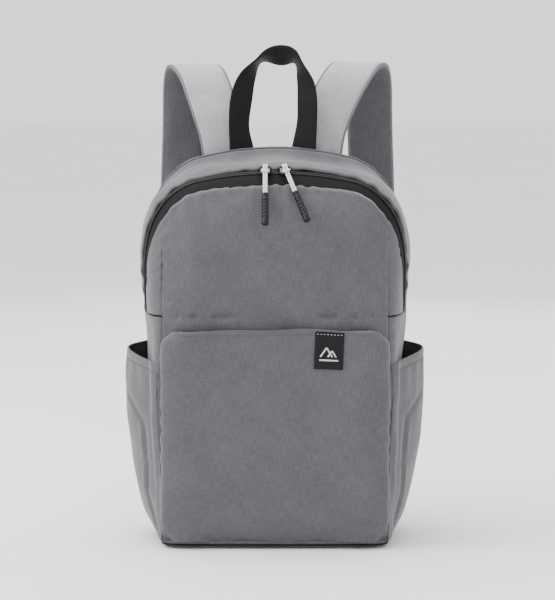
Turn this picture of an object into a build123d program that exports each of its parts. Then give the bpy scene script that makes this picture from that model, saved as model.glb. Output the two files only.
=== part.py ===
"""A soft daypack of sewn panels that stands on its base, with a fold-out front flap, zip, pockets and straps.

Millimetres. +X is to the right as seen from the front, -Y is the front, +Y the wearer's side, +Z up.
The origin is on the flat base that the pack stands on, at the middle of its width.
"""

import os
from math import asin, cos, degrees, radians, sin, sqrt

from build123d import *

os.makedirs("parts", exist_ok=True)

# ---------------------------------------------------------------- driving dimensions
BACK_Y, BACK_TOP = 52, 388  # where the gusset meets the padded back
BACK_PAD = 12  # thickness of the padded back
RIDGE_Y, RIDGE_TOP = -38, 367  # the zip's place at the top centre
WALL = 2.4  # fabric with its foam and lining
CORNER = 14  # radius between base and sides
BELLY_Z = 235  # height at which the pack is widest
TOP_RADIUS, TOP_HALF = 310, 76  # the shallow arc along the top, and half its width
SEAM_Z = 7  # height of the seam between base and walls
FRONT_SEAM_Y = -58  # depth of the seams between front panel and sides
SLACK = 0.4  # gap left between pieces that move apart
# depth, half width at the base, half width at the belly, height of the top
STATIONS = [
    (-67, 97, 99, 296),
    (-60, 110, 110, 331),
    (RIDGE_Y, 113, 123, RIDGE_TOP),
    (5, 115, 131, 378),
    (BACK_Y, 113, 126, BACK_TOP),
]
# front flap and zip
HINGE_Z = 219  # height of the line that the front flap folds about
FLAP_BOTTOM = 229
LOWER_TOP = FLAP_BOTTOM - 1  # top of the walls under the flap
ZIP_TILT = 10  # degrees that the zip's plane leans back from vertical
TAPE_REAR, TAPE_FRONT, TEETH = 4.5, 12, 1.7  # widths on each side of the zip's centre line
TEETH_PROUD = 0.8
ZIP_END = 210  # lower end of the zip tapes
RIDGE_LEAN = 38  # degrees that the outside faces forward at the zip
SLIDER_X = 9.5  # rest place of each slider, from the middle
# pockets
POCKET_TOP, POCKET_FACE, POCKET_HALF, POCKET_WALL = 216, -77, 112, 1.8
POCKET_CORNER, POCKET_EDGE = 20, 7
HEM = 8
SIDE_FRONT, SIDE_MID, SIDE_BACK = -58, -6, 46  # depths of the side pocket's front, middle and rear
# height, half widths of the side pocket at its front, middle and rear
SIDE_STATIONS = [(9, 111.5, 121, 114.5), (70, 111.5, 141, 122), (140, 111.5, 149.5, 127), (212, 111.5, 146.5, 128)]
SIDE_MOUTH, SIDE_SLOPE = 189, 6  # height of the mouth at y = 0, and degrees that it rises to the rear
# straps, for the right-hand side
STRAP_WIDTH, STRAP_FOAM, STRAP_MESH = 47, 6, 1.8
STRAP_PATH = [
    (44, 69.6, 375), (47, 71, 398), (60, 80, 435), (86, 112, 471), (96, 138, 466), (100, 153, 420), (102, 157, 360),
    (104, 152, 295), (107, 143, 245), (110, 131, 205),
]
WEB, WEB_THICK = 20, 1.6
LOOP_LONG = 14  # webbing between the strap's end and its ladder lock
LOCK_LONG, LOCK_WIDE, LOCK_THICK = 26, 28, 3.6
TAIL_LONG = 70
ANCHOR = Vector(101, 67.6, 34)  # where the lower webbing leaves its tab
# haul loop
HAUL_WEB, HAUL_THICK = 25, 2
HAUL_PATH = [
    (-31.5, 58, 389), (-34.5, 58.5, 422), (-30, 61, 456), (-16, 64, 475), (0, 65, 481),
    (16, 64, 475), (30, 61, 456), (34.5, 58.5, 422), (31.5, 58, 389),
]
HAUL_TURN = 48  # degrees that the webbing's face turns to look down at the top of the loop
# slider and its pull
PLATE_WIDE, PLATE_LONG, PLATE_THICK = 7, 10, 1.8
PLATE_GAP = 0.6  # plate above the teeth
BAR_RISE, BAR_RADIUS, POST_X = 4.8, 0.8, 3.9
CORD_RADIUS, CORD_LONG = 1.0, 29
GRIP_RADIUS, GRIP_LONG = 3.3, 36
PULL_LEAN = 33  # degrees that a pull hangs forward of vertical, lying along the front

TOP_RISE = sqrt(TOP_RADIUS**2 - TOP_HALF**2)
TOP_SAG = TOP_RADIUS - TOP_RISE
TILT = radians(ZIP_TILT)
ZIP_UP = Vector(0, -sin(TILT), cos(TILT))
ZIP_NORMAL = Vector(0, cos(TILT), sin(TILT))


def export(piece, name):
    """Writes one sub-part under its own name."""
    piece.label = name
    export_step(piece, f"parts/{name}.step")


def export_pair(piece, name):
    """Writes a right-hand sub-part and its mirror image."""
    export(piece, f"{name}_right")
    export(piece.mirror(Plane.YZ), f"{name}_left")


# ---------------------------------------------------------------- the bag's outer form
def arch(y, half_base, half_belly, top, inset):
    """Face of the bag's outline at depth y, taken in by inset: flat base, bulging sides, shallow top."""
    base, belly, top = half_base - inset, half_belly - inset, top - inset
    low = inset if inset > 0 else -1.0
    belly_z = BELLY_Z * min(1.0, top / 330)
    side = [(base, low + CORNER), (belly, belly_z), (belly - 20, top - 28), (TOP_HALF, top - TOP_SAG)]
    bow = CORNER * (1 - sin(radians(45)))
    with BuildSketch(Plane.XZ.offset(-y)) as outline:
        with BuildLine():
            Line((-base + CORNER, low), (base - CORNER, low))
            for hand in (1, -1):
                ThreePointArc(
                    (hand * (base - CORNER), low), (hand * (base - bow), low + bow), (hand * base, low + CORNER)
                )
                Spline(
                    *[(hand * x, z) for x, z in side], tangents=((hand * 0.05, 1), (-hand * TOP_RISE, TOP_HALF))
                )
            ThreePointArc(
                (TOP_HALF, top - TOP_SAG), (0, top), (-TOP_HALF, top - TOP_SAG)
            )
        make_face()
    return outline.sketch


def envelope(inset=0.0, back=0.0):
    """Solid of the whole bag taken in by inset, with its rear outline moved back."""
    sections = []
    for y, half_base, half_belly, top in STATIONS:
        depth = y
        if y == STATIONS[0][0]:
            depth += inset
        if y == BACK_Y:
            depth += back
        sections.append(arch(depth, half_base, half_belly, top, inset))
    with BuildPart() as solid:
        loft(sections)
        split(bisect_by=Plane.XY, keep=Keep.TOP)
    return solid.part


def cut(source, *planes):
    """What is left of a solid on the front side of each plane."""
    with BuildPart() as piece:
        add(source)
        for plane in planes:
            split(bisect_by=plane, keep=Keep.TOP)
    return piece.part


def above(z):
    return Plane((0, 0, z), z_dir=(0, 0, 1))


def below(z):
    return Plane((0, 0, z), z_dir=(0, 0, -1))


def behind(y):
    return Plane((0, y, 0), z_dir=(0, 1, 0))


def before(y):
    return Plane((0, y, 0), z_dir=(0, -1, 0))


def right_of(x):
    return Plane((x, 0, 0), z_dir=(1, 0, 0))


def left_of(x):
    return Plane((x, 0, 0), z_dir=(-1, 0, 0))


def zip_behind(distance):
    """Plane parallel to the zip's, that far behind its centre line, keeping what is behind."""
    place = Vector(0, RIDGE_Y, RIDGE_TOP) + ZIP_NORMAL * distance
    return Plane(place, x_dir=(1, 0, 0), z_dir=ZIP_NORMAL)


def zip_before(distance):
    place = Vector(0, RIDGE_Y, RIDGE_TOP) + ZIP_NORMAL * distance
    return Plane(place, x_dir=(1, 0, 0), z_dir=-ZIP_NORMAL)


bag = envelope()
with BuildPart() as hull:
    add(bag)
    add(envelope(WALL, back=5), mode=Mode.SUBTRACT)
shell = hull.part
with BuildPart() as proud_hull:
    add(envelope(-TEETH_PROUD))
    add(envelope(WALL, back=5), mode=Mode.SUBTRACT)
proud = cut(proud_hull.part, above(FLAP_BOTTOM))

# ---------------------------------------------------------------- panels of the bag
export(cut(shell, below(SEAM_Z)), "base_panel")
walls = cut(shell, above(SEAM_Z), below(LOWER_TOP))
export(cut(walls, before(FRONT_SEAM_Y)), "front_panel_lower")
side = cut(walls, behind(FRONT_SEAM_Y), right_of(0))
zip_end = cut(side, above(ZIP_END), zip_behind(-TAPE_FRONT), zip_before(TAPE_REAR))
export_pair(zip_end, "zip_end")
with BuildPart() as side_panel:
    add(side)
    add(zip_end, mode=Mode.SUBTRACT)
export_pair(side_panel.part, "side_panel")

upper = cut(shell, above(FLAP_BOTTOM))
export(cut(upper, zip_behind(TAPE_REAR)), "rear_gusset")
export(cut(upper, zip_behind(TEETH), zip_before(TAPE_REAR)), "zip_tape_rear")
export(cut(proud, zip_behind(SLACK / 2), zip_before(TEETH)), "zip_teeth_rear")
export(cut(proud, zip_behind(-TEETH), zip_before(-SLACK / 2)), "zip_teeth_front")
export(cut(upper, zip_behind(-TAPE_FRONT), zip_before(-TEETH)), "zip_tape_front")
flap = cut(upper, zip_before(-TAPE_FRONT))
gusset_side = cut(flap, behind(FRONT_SEAM_Y), right_of(100))
export_pair(gusset_side, "front_gusset")
with BuildPart() as front_panel:
    add(flap)
    add(gusset_side, mode=Mode.SUBTRACT)
    add(gusset_side.mirror(Plane.YZ), mode=Mode.SUBTRACT)
export(front_panel.part, "front_panel")

# ---------------------------------------------------------------- padded back
COVER = 1.6
BOARD = 1.6


def back_layer(inset, start, thickness):
    """Slab of the back's outline, taken in by inset, from depth start."""
    _, half_base, half_belly, top = STATIONS[-1]
    with BuildPart() as layer:
        extrude(arch(start, half_base, half_belly, top, inset), amount=-thickness)
        split(bisect_by=above(3 + inset), keep=Keep.TOP)
    return layer.part


with BuildPart() as back_panel:
    add(back_layer(0, BACK_Y, BACK_PAD))
    fillet(back_panel.faces().sort_by(Axis.Y)[-1].edges(), 4)
    add(back_layer(6, BACK_Y + COVER, BACK_PAD - 2 * COVER), mode=Mode.SUBTRACT)
export(back_panel.part, "back_panel")
export(back_layer(6.4, BACK_Y + COVER + 0.1, BOARD), "back_board")
export(back_layer(6.4, BACK_Y + COVER + 0.2 + BOARD, BACK_PAD - 2 * COVER - BOARD - 0.4), "back_foam")

# ---------------------------------------------------------------- sleeve inside
SLEEVE_FACE, SLEEVE_HALF, SLEEVE_TOP, SLEEVE_WALL = 37, 104, 250, 2.6
with BuildPart() as laptop_sleeve:
    with BuildSketch(Plane.XZ.offset(-SLEEVE_FACE)):
        with Locations((0, (16 + SLEEVE_TOP) / 2)):
            RectangleRounded(2 * SLEEVE_HALF, SLEEVE_TOP - 16, 10)
    extrude(amount=-(BACK_Y - SLEEVE_FACE))
    with BuildSketch(Plane.XZ.offset(-SLEEVE_FACE - SLEEVE_WALL)):
        with Locations((0, (16 + SLEEVE_TOP) / 2 + 20)):
            RectangleRounded(2 * (SLEEVE_HALF - SLEEVE_WALL), SLEEVE_TOP - 16 + 2 * (20 - SLEEVE_WALL), 10)
    extrude(amount=-(BACK_Y - SLEEVE_FACE), mode=Mode.SUBTRACT)
export(laptop_sleeve.part, "laptop_sleeve")

with BuildPart() as sleeve_tab:
    with BuildSketch(Plane.YZ):
        with BuildLine():
            FilletPolyline((BACK_Y - 1.4, 292), (44, 262), (34.5, 248), (34.5, 214), radius=6)
            offset(amount=0.8, side=Side.BOTH)
        make_face()
    extrude(amount=12.5, both=True)
export(sleeve_tab.part, "sleeve_tab")

# ---------------------------------------------------------------- front pocket


def tray(inset, face):
    """Solid under the front pocket's form, from its face back into the bag."""
    half, low = POCKET_HALF - inset, SEAM_Z + 0.4 + inset
    high = POCKET_TOP + (30 if inset else 0)
    with BuildPart() as solid:
        with BuildSketch(Plane.XZ.offset(-face)):
            with Locations((0, (low + high) / 2)):
                Rectangle(2 * half, high - low)
        extrude(amount=-(FRONT_SEAM_Y - face))
        fillet(solid.faces().sort_by(Axis.Y)[0].edges().filter_by(Axis.Z), POCKET_EDGE - inset / 2)
    return solid.part


with BuildPart() as front_pocket:
    add(tray(0, POCKET_FACE))
    add(tray(POCKET_WALL, POCKET_FACE + POCKET_WALL), mode=Mode.SUBTRACT)
    with BuildSketch(Plane.XZ.offset(-FRONT_SEAM_Y)):
        RectangleRounded(2 * POCKET_HALF, 2 * POCKET_TOP, POCKET_CORNER)
    extrude(amount=FRONT_SEAM_Y - POCKET_FACE, mode=Mode.INTERSECT)
    add(bag, mode=Mode.SUBTRACT)
export(front_pocket.part, "front_pocket")

with BuildPart() as front_pocket_hem:
    with BuildSketch(Plane.XZ.offset(-POCKET_FACE)):
        with Locations((0, POCKET_TOP - HEM / 2)):
            Rectangle(2 * (POCKET_HALF - POCKET_CORNER), HEM)
    extrude(amount=0.8)
export(front_pocket_hem.part, "front_pocket_hem")

LABEL_LEFT, LABEL_RIGHT, LABEL_LONG = 38, 67, 37
with BuildPart() as label_tag:
    with BuildSketch(Plane.XZ.offset(-POCKET_FACE + 0.8)):
        with Locations(((LABEL_LEFT + LABEL_RIGHT) / 2, POCKET_TOP - LABEL_LONG / 2)):
            Rectangle(LABEL_RIGHT - LABEL_LEFT, LABEL_LONG)
    extrude(amount=0.9)
export(label_tag.part, "label_tag")

# ---------------------------------------------------------------- side pockets


def bulge(inset):
    """Solid bounded by the side pocket's bulging face, open towards the bag."""
    sections = []
    for number, (z, front, middle, rear) in enumerate(SIDE_STATIONS):
        height = z + (inset if number == 0 else 0)
        with BuildSketch(Plane.XY.offset(height)) as section:
            with BuildLine():
                ThreePointArc(
                    (front - inset / 2, SIDE_FRONT + inset),
                    (middle - inset, SIDE_MID),
                    (rear - inset / 2, SIDE_BACK - inset),
                )
                Line((rear - inset / 2, SIDE_BACK - inset), (80, SIDE_BACK - inset))
                Line((80, SIDE_BACK - inset), (80, SIDE_FRONT + inset))
                Line((80, SIDE_FRONT + inset), (front - inset / 2, SIDE_FRONT + inset))
            make_face()
        sections.append(section.sketch)
    with BuildPart() as solid:
        loft(sections)
    return solid.part


def mouth(drop, up):
    """Plane parallel to the side pocket's mouth and that far below it, keeping what is above or below."""
    rise = radians(SIDE_SLOPE)
    sign = 1 if up else -1
    return Plane((0, 0, SIDE_MOUTH - drop), z_dir=(0, -sign * sin(rise), sign * cos(rise)))


with BuildPart() as pocket_wall:
    add(bulge(0))
    add(bulge(POCKET_WALL), mode=Mode.SUBTRACT)
    add(bag, mode=Mode.SUBTRACT)
    add(front_pocket.part, mode=Mode.SUBTRACT)
export_pair(cut(pocket_wall.part, mouth(HEM, False)), "side_pocket")
export_pair(cut(pocket_wall.part, mouth(HEM, True), mouth(0, False)), "side_pocket_hem")


# ---------------------------------------------------------------- straps and haul loop
def band(path, count, width, thickness, lift, width_way, turn=0):
    """Solid of a flat band along a path: width_way gives its width's direction, turn twists it at mid-length."""
    sections = []
    for number in range(count + 1):
        place = number / count
        along = path % place
        across = width_way(along).normalized()
        twist = radians(turn) * (1 - cos(radians(360 * place))) / 2
        x_dir = across * cos(twist) + along.cross(across) * sin(twist)
        with BuildSketch(Plane(path @ place, x_dir=x_dir, z_dir=along)) as section:
            with Locations((0, lift)):
                Rectangle(width, thickness)
        sections.append(section.sketch)
    with BuildPart() as solid:
        loft(sections)
    return solid.part


def sideways(along):
    """The direction nearest to X across a band that runs along."""
    return Vector(1, 0, 0) - along * along.X


def strip(start, end, width, thickness, lift=0.0):
    """Flat straight webbing from start to end, its width across the pack."""
    along = (end - start).normalized()
    with BuildPart() as piece:
        with BuildSketch(Plane(start, x_dir=sideways(along).normalized(), z_dir=along)):
            with Locations((0, lift)):
                Rectangle(width, thickness)
        extrude(amount=(end - start).length)
    return piece.part


strap_line = Spline(*STRAP_PATH)
strap = band(strap_line, 16, STRAP_WIDTH, STRAP_FOAM, 0, sideways)
strap_mesh = band(strap_line, 16, STRAP_WIDTH - 4, STRAP_MESH, (STRAP_FOAM + STRAP_MESH) / 2 + 0.3, sideways)
export_pair(strap, "shoulder_strap")
export_pair(strap_mesh, "strap_mesh")

# the buckle at the strap's end: webbing loop, ladder lock, and the tail that hangs from it
strap_end, down = strap_line @ 1, strap_line % 1
out = sideways(down).normalized().cross(down)
loop_end = strap_end + down * LOOP_LONG
export_pair(strip(strap_end, loop_end, WEB, WEB_THICK), "buckle_loop")

LOCK_GAP = 1.0
BAR = 3.4
with BuildPart() as ladder_lock:
    with BuildSketch(Plane(loop_end + down * LOCK_GAP, x_dir=sideways(down).normalized(), z_dir=out)):
        with Locations((0, LOCK_LONG / 2)):
            RectangleRounded(LOCK_WIDE, LOCK_LONG, 3)
        pitch = (LOCK_LONG - BAR) / 3
        with Locations(*[(0, BAR / 2 + pitch * (number + 0.5)) for number in range(3)]):
            Rectangle(LOCK_WIDE - 2 * BAR, pitch - BAR, mode=Mode.SUBTRACT)
    extrude(amount=LOCK_THICK / 2, both=True)
export_pair(ladder_lock.part, "ladder_lock")

lock_low = loop_end + down * (LOCK_GAP + LOCK_LONG)
tail_top = loop_end + down * (LOCK_LONG * 0.6) + out * (LOCK_THICK / 2 + WEB_THICK)
export_pair(strip(tail_top, tail_top - Vector(0, 0, TAIL_LONG), WEB, WEB_THICK), "webbing_tail")

web_end = lock_low + down * 3
export_pair(strip(ANCHOR, web_end, WEB, WEB_THICK), "adjust_webbing")

TAB_TOP, TAB_LOW, TAB_THICK = 34, 7, 2.2
with BuildPart() as strap_tab:
    with BuildSketch(Plane.XZ.offset(-BACK_Y - BACK_PAD)):
        Polygon((86, TAB_LOW), (107, TAB_LOW), (112, TAB_TOP), (90, TAB_TOP), align=None)
    extrude(amount=-TAB_THICK)
export_pair(strap_tab.part, "strap_tab")

YOKE_HALF, YOKE_TOP, YOKE_LONG, YOKE_THICK = 72, 373, 36, 2
with BuildPart() as strap_yoke:
    with BuildSketch(Plane.XZ.offset(-BACK_Y - BACK_PAD)):
        with Locations((0, YOKE_TOP - YOKE_LONG / 2)):
            RectangleRounded(2 * YOKE_HALF, YOKE_LONG, 8)
    extrude(amount=-YOKE_THICK)
export(strap_yoke.part, "strap_yoke")


def around_loop(along):
    """The outward direction in the loop's plane across a band that runs along."""
    return along.cross(Vector(0, 1, 0))


export(band(Spline(*HAUL_PATH), 16, HAUL_WEB, HAUL_THICK, 0, around_loop, HAUL_TURN), "haul_loop")

# ---------------------------------------------------------------- sliders and pulls
LEAN = radians(RIDGE_LEAN)
OUTWARD = Vector(0, -sin(LEAN), cos(LEAN))


def slider_frame(height):
    """Plane on the right-hand slider, lying along the teeth, at a height above the bag's surface."""
    sag = TOP_RADIUS - sqrt(TOP_RADIUS**2 - SLIDER_X**2)
    surface = Vector(SLIDER_X, RIDGE_Y, RIDGE_TOP - sag)
    return Plane(surface + OUTWARD * height, x_dir=(1, 0, 0), z_dir=OUTWARD)


PLATE_LOW = TEETH_PROUD + PLATE_GAP
BAR_HEIGHT = PLATE_LOW + PLATE_THICK + BAR_RISE
with BuildPart() as slider:
    with BuildSketch(slider_frame(PLATE_LOW)):
        RectangleRounded(PLATE_LONG, PLATE_WIDE, 2)
    extrude(amount=PLATE_THICK)
    with BuildSketch(slider_frame(PLATE_LOW + PLATE_THICK)):
        with Locations((POST_X, 0), (-POST_X, 0)):
            Rectangle(1.4, 2.4)
    extrude(amount=BAR_RISE + BAR_RADIUS)
    with BuildSketch(Plane(slider_frame(BAR_HEIGHT).origin, z_dir=(1, 0, 0))):
        Circle(BAR_RADIUS)
    extrude(amount=POST_X, both=True)
export_pair(slider.part, "slider")


def pull(sideways_lean, suffix):
    """Cord and moulded grip hanging from the slider's bar, leaning sideways by some degrees."""
    lean, side_lean = radians(PULL_LEAN), radians(sideways_lean)
    hang = Vector(sin(side_lean), -sin(lean) * cos(side_lean), -cos(lean) * cos(side_lean))
    bar = slider_frame(BAR_HEIGHT).origin
    ring = BAR_RADIUS + 0.5 + CORD_RADIUS
    face = Plane(bar, x_dir=Vector(1, 0, 0).cross(hang).normalized(), z_dir=hang)
    turn = Plane(bar, x_dir=face.x_dir, z_dir=face.x_dir.cross(hang))
    with BuildPart() as cord:
        with BuildLine(turn) as route:
            Line((-ring, CORD_LONG), (-ring, 0))
            ThreePointArc((-ring, 0), (0, -ring), (ring, 0))
            Line((ring, 0), (ring, CORD_LONG))
        with BuildSketch(Plane(route.line @ 0, z_dir=-hang)):
            Circle(CORD_RADIUS)
        sweep()
    with BuildPart() as grip:
        with BuildSketch(face.offset(CORD_LONG)):
            Circle(GRIP_RADIUS)
        extrude(amount=GRIP_LONG)
        fillet(grip.edges().filter_by(GeomType.CIRCLE), 0.9)
    return cord.part, grip.part


upright_cord, upright_grip = pull(0, "left")
leaning_cord, leaning_grip = pull(20, "right")
export(leaning_cord, "pull_cord_right")
export(leaning_grip, "pull_grip_right")
export(upright_cord.mirror(Plane.YZ), "pull_cord_left")
export(upright_grip.mirror(Plane.YZ), "pull_grip_left")
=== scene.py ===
"""Visual model of the daypack: sewn heather fabric, zip, pulls, pockets, padded back and straps."""

import math
from math import cos, pi, radians, sin

import bmesh
import bpy
import numpy as np
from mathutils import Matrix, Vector
from mathutils.bvhtree import BVHTree


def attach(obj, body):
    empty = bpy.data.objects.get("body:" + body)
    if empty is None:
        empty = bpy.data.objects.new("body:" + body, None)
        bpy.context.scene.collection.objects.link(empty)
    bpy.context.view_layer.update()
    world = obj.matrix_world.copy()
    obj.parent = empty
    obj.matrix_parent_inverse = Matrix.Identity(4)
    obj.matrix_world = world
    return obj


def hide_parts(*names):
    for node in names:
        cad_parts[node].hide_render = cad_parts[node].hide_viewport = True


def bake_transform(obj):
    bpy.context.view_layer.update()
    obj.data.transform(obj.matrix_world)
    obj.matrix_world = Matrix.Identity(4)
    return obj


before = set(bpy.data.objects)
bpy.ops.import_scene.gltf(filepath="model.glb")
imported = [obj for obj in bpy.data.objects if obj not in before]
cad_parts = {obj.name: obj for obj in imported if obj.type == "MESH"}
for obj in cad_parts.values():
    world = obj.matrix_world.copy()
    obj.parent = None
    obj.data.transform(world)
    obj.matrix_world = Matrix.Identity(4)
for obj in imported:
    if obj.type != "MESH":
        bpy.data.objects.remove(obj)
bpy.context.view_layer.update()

X, Y, Z = np.eye(3)
MM = 0.001
HANDS = (("left", -1), ("right", 1))

# the zip's plane and the fold under it, as the solids have them
RIDGE = np.array([0, -0.038, 0.367])
TILT = radians(10)
ZIP_NORMAL = np.array([0, cos(TILT), sin(TILT)])
FOLD_Z = 0.229
SEAM_X = 0.1095
SEAM_BACK, SEAM_IN = 0.0018, 0.0012  # how far the cloths' rear edges tuck under the back's seam
STITCH_IN = 0.0042  # from a cloth's edge at the zip to its row of stitches
ROUNDING = 0.45  # how far a webbing's edges are rounded, as a part of its thickness
BACK_Y = 0.052
BASE_Z = 0.007
# cloth is laid this far out from the solids; most of it is this thick
CLOTH_LIFT, CLOTH_THICK = 0.0010, 0.0013


# ---------------------------------------------------------------- small tools
def unit(v):
    v = np.asarray(v, float)
    return v / np.maximum(np.linalg.norm(v, axis=-1, keepdims=True), 1e-12)


def smooth_step(value, low, high):
    t = np.clip((value - low) / (high - low), 0, 1)
    return t * t * (3 - 2 * t)


def bump_at(value, centre, width):
    return np.exp(-(((value - centre) / width) ** 2))


def lengths_along(points):
    """Distance along a line of points, at each of them."""
    return np.concatenate([[0], np.cumsum(np.linalg.norm(np.diff(points, axis=0), axis=1))])


def read_off(wanted, places, points):
    """Points given at places along a line, read off at the wanted places."""
    return np.stack([np.interp(wanted, places, points[:, k]) for k in range(3)], axis=-1)


def spline(points, count):
    """Evenly spaced points on a natural cubic through the given points."""
    p = np.asarray(points, float)
    n = len(p)
    t = lengths_along(p)
    h = np.diff(t)
    a = np.zeros((n, n))
    b = np.zeros_like(p)
    a[0, 0] = a[-1, -1] = 1
    for i in range(1, n - 1):
        a[i, i - 1 : i + 2] = h[i - 1], 2 * (h[i - 1] + h[i]), h[i]
        b[i] = 6 * ((p[i + 1] - p[i]) / h[i] - (p[i] - p[i - 1]) / h[i - 1])
    m = np.linalg.solve(a, b)

    def at(u):
        i = np.clip(np.searchsorted(t, u, side="right") - 1, 0, n - 2)
        w0, w1 = (t[i + 1] - u)[:, None], (u - t[i])[:, None]
        k = h[i][:, None]
        return (
            (m[i] * w0**3 + m[i + 1] * w1**3) / (6 * k)
            + (p[i] / k - m[i] * k / 6) * w0
            + (p[i + 1] / k - m[i + 1] * k / 6) * w1
        )

    return resample(at(np.linspace(0, t[-1], 400)), count)


def resample(points, count):
    """Evenly spaced points along the straight pieces between the given points."""
    p = np.asarray(points, float)
    run = lengths_along(p)
    return read_off(np.linspace(0, run[-1], count), run, p)


def smooth_ring(ring, passes):
    """Evens out a closed ring of points."""
    for _ in range(passes):
        ring = (np.roll(ring, 1, 0) + ring * 2 + np.roll(ring, -1, 0)) / 4
    return ring


def relax(grid, passes):
    """Evens out a grid of points, its border held."""
    g = grid.copy()
    for _ in range(passes):
        inner = g.copy()
        around = g[:-2, 1:-1] + g[2:, 1:-1] + g[1:-1, :-2] + g[1:-1, 2:]
        inner[1:-1, 1:-1] = around / 8 + g[1:-1, 1:-1] / 2
        g = inner
    return g


def normals(grid, outward):
    """Unit normals of a grid, on the side that outward points to."""
    du = np.gradient(grid, axis=0)
    dv = np.gradient(grid, axis=1)
    n = unit(np.cross(du, dv))
    sign = np.sign((n * outward).sum(-1, keepdims=True).mean() or 1)
    return n * sign


def tree(*names):
    """Search tree of the named solids' surfaces."""
    points, faces = [], []
    for name in names:
        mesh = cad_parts[name].data
        start = len(points)
        points += [v.co.copy() for v in mesh.vertices]
        faces += [[start + i for i in p.vertices] for p in mesh.polygons]
    return BVHTree.FromPolygons(points, faces)


def place(obj, body, slot, *nodes):
    """Attaches a piece to the body that carries it and hides the solids it stands for; slot is not used."""
    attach(obj, body)
    if nodes:
        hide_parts(*nodes)


def finish_mesh(name, verts, faces, uvs=None, material=None, smooth=True):
    """New object from points and faces, with lengths in metres as its texture coordinates."""
    mesh = bpy.data.meshes.new(name)
    mesh.from_pydata([tuple(v) for v in verts], [], faces)
    mesh.validate()
    if uvs is not None:
        layer = mesh.uv_layers.new(name="Weave")
        index = np.zeros(len(mesh.loops), np.int32)
        mesh.loops.foreach_get("vertex_index", index)
        layer.data.foreach_set("uv", np.asarray(uvs, np.float32)[index].ravel())
    obj = bpy.data.objects.new(name, mesh)
    bpy.context.scene.collection.objects.link(obj)
    if smooth:
        mesh.polygons.foreach_set("use_smooth", [True] * len(mesh.polygons))
    if material:
        mesh.materials.append(material)
    return obj


def grid_faces(rows, cols, close_cols=False, close_rows=False, start=0):
    """Four-sided faces of a grid of points numbered row by row from start."""
    faces = []
    for i in range(rows if close_rows else rows - 1):
        for j in range(cols if close_cols else cols - 1):
            k, l = (i + 1) % rows, (j + 1) % cols
            corners = (i * cols + j, k * cols + j, k * cols + l, i * cols + l)
            faces.append(tuple(start + corner for corner in corners))
    return faces


def end_caps(rows, cols):
    """The two end faces of a tube of rows rings, each with cols points."""
    return [tuple(range(cols))[::-1], tuple((rows - 1) * cols + i for i in range(cols))]


def inner_faces(n, start):
    """Joins the first ring of n points to two inner rings that start at the given number."""
    faces = []
    for i in range(n):
        k = (i + 1) % n
        faces.append((i, start + i, start + k, k))
        faces.append((start + i, start + n + i, start + n + k, start + k))
    return faces


def grid_uv(grid):
    """Lengths along both ways of a grid, in metres."""
    step_u = np.linalg.norm(np.diff(grid, axis=0), axis=2).mean(1)
    step_v = np.linalg.norm(np.diff(grid, axis=1), axis=2)
    u = np.concatenate([[0], np.cumsum(step_u)])[:, None] * np.ones((1, grid.shape[1]))
    v = np.concatenate([np.zeros((grid.shape[0], 1)), np.cumsum(step_v, axis=1)], axis=1)
    v = v - v[:, -1:] / 2
    return np.stack([v, u], axis=2)


def cloth(name, grid, outward, thickness, material, lining=None):
    """Closed piece of fabric: the grid is its outside, and it is as thick as said, towards the inside."""
    n = normals(grid, outward)
    rows, cols = grid.shape[:2]
    inner = grid - n * thickness
    verts = np.concatenate([grid.reshape(-1, 3), inner.reshape(-1, 3)])
    uv = grid_uv(grid).reshape(-1, 2)
    a = grid_faces(rows, cols)
    k = rows * cols
    sample = np.cross(grid[1, 0] - grid[0, 0], grid[0, 1] - grid[0, 0])
    flip = (sample * n[0, 0]).sum() < 0
    outer = [f[::-1] for f in a] if flip else a
    back = [tuple(i + k for i in f[::-1]) for f in outer]
    rim = [i * cols for i in range(rows)] + [(rows - 1) * cols + j for j in range(1, cols)]
    rim += [i * cols + cols - 1 for i in range(rows - 2, -1, -1)] + [j for j in range(cols - 2, 0, -1)]
    sides = []
    for i, first in enumerate(rim):
        second = rim[(i + 1) % len(rim)]
        quad = (first, second, second + k, first + k)
        sides.append(quad[::-1] if flip else quad)
    obj = finish_mesh(name, verts, outer + back + sides, np.concatenate([uv, uv]), material)
    if lining:
        obj.data.materials.append(lining)
        for index in range(len(outer), len(outer) + len(back)):
            obj.data.polygons[index].material_index = 1
    fix_normals(obj)
    return obj


def fix_normals(obj):
    """Turns all faces of a closed piece outwards."""
    b = bmesh.new()
    b.from_mesh(obj.data)
    bmesh.ops.recalc_face_normals(b, faces=b.faces)
    b.to_mesh(obj.data)
    b.free()


def tube(name, path, radius, material, sides=8, closed=False):
    """Round tube along a path; radius may be one number or one for each point."""
    p = np.asarray(path, float)
    n = len(p)
    radii = np.broadcast_to(np.asarray(radius, float), (n,))
    along = np.roll(p, -1, 0) - np.roll(p, 1, 0) if closed else np.gradient(p, axis=0)
    along = unit(along)
    across = np.zeros_like(p)
    start = Z if abs(along[0] @ Z) < 0.9 else X
    across[0] = unit(start - along[0] * (start @ along[0]))
    for i in range(1, n):
        across[i] = unit(across[i - 1] - along[i] * (across[i - 1] @ along[i]))
    other = np.cross(along, across)
    angle = np.arange(sides) * 2 * pi / sides
    grid = p[:, None] + radii[:, None, None] * (
        across[:, None] * np.cos(angle)[None, :, None] + other[:, None] * np.sin(angle)[None, :, None]
    )
    uv = np.stack(np.meshgrid(angle * radii.mean(), lengths_along(p)), axis=2)
    faces = grid_faces(n, sides, True, closed)
    verts = list(grid.reshape(-1, 3))
    if not closed:
        faces += end_caps(n, sides)
    obj = finish_mesh(name, verts, faces, uv.reshape(-1, 2), material)
    fix_normals(obj)
    return obj


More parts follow.
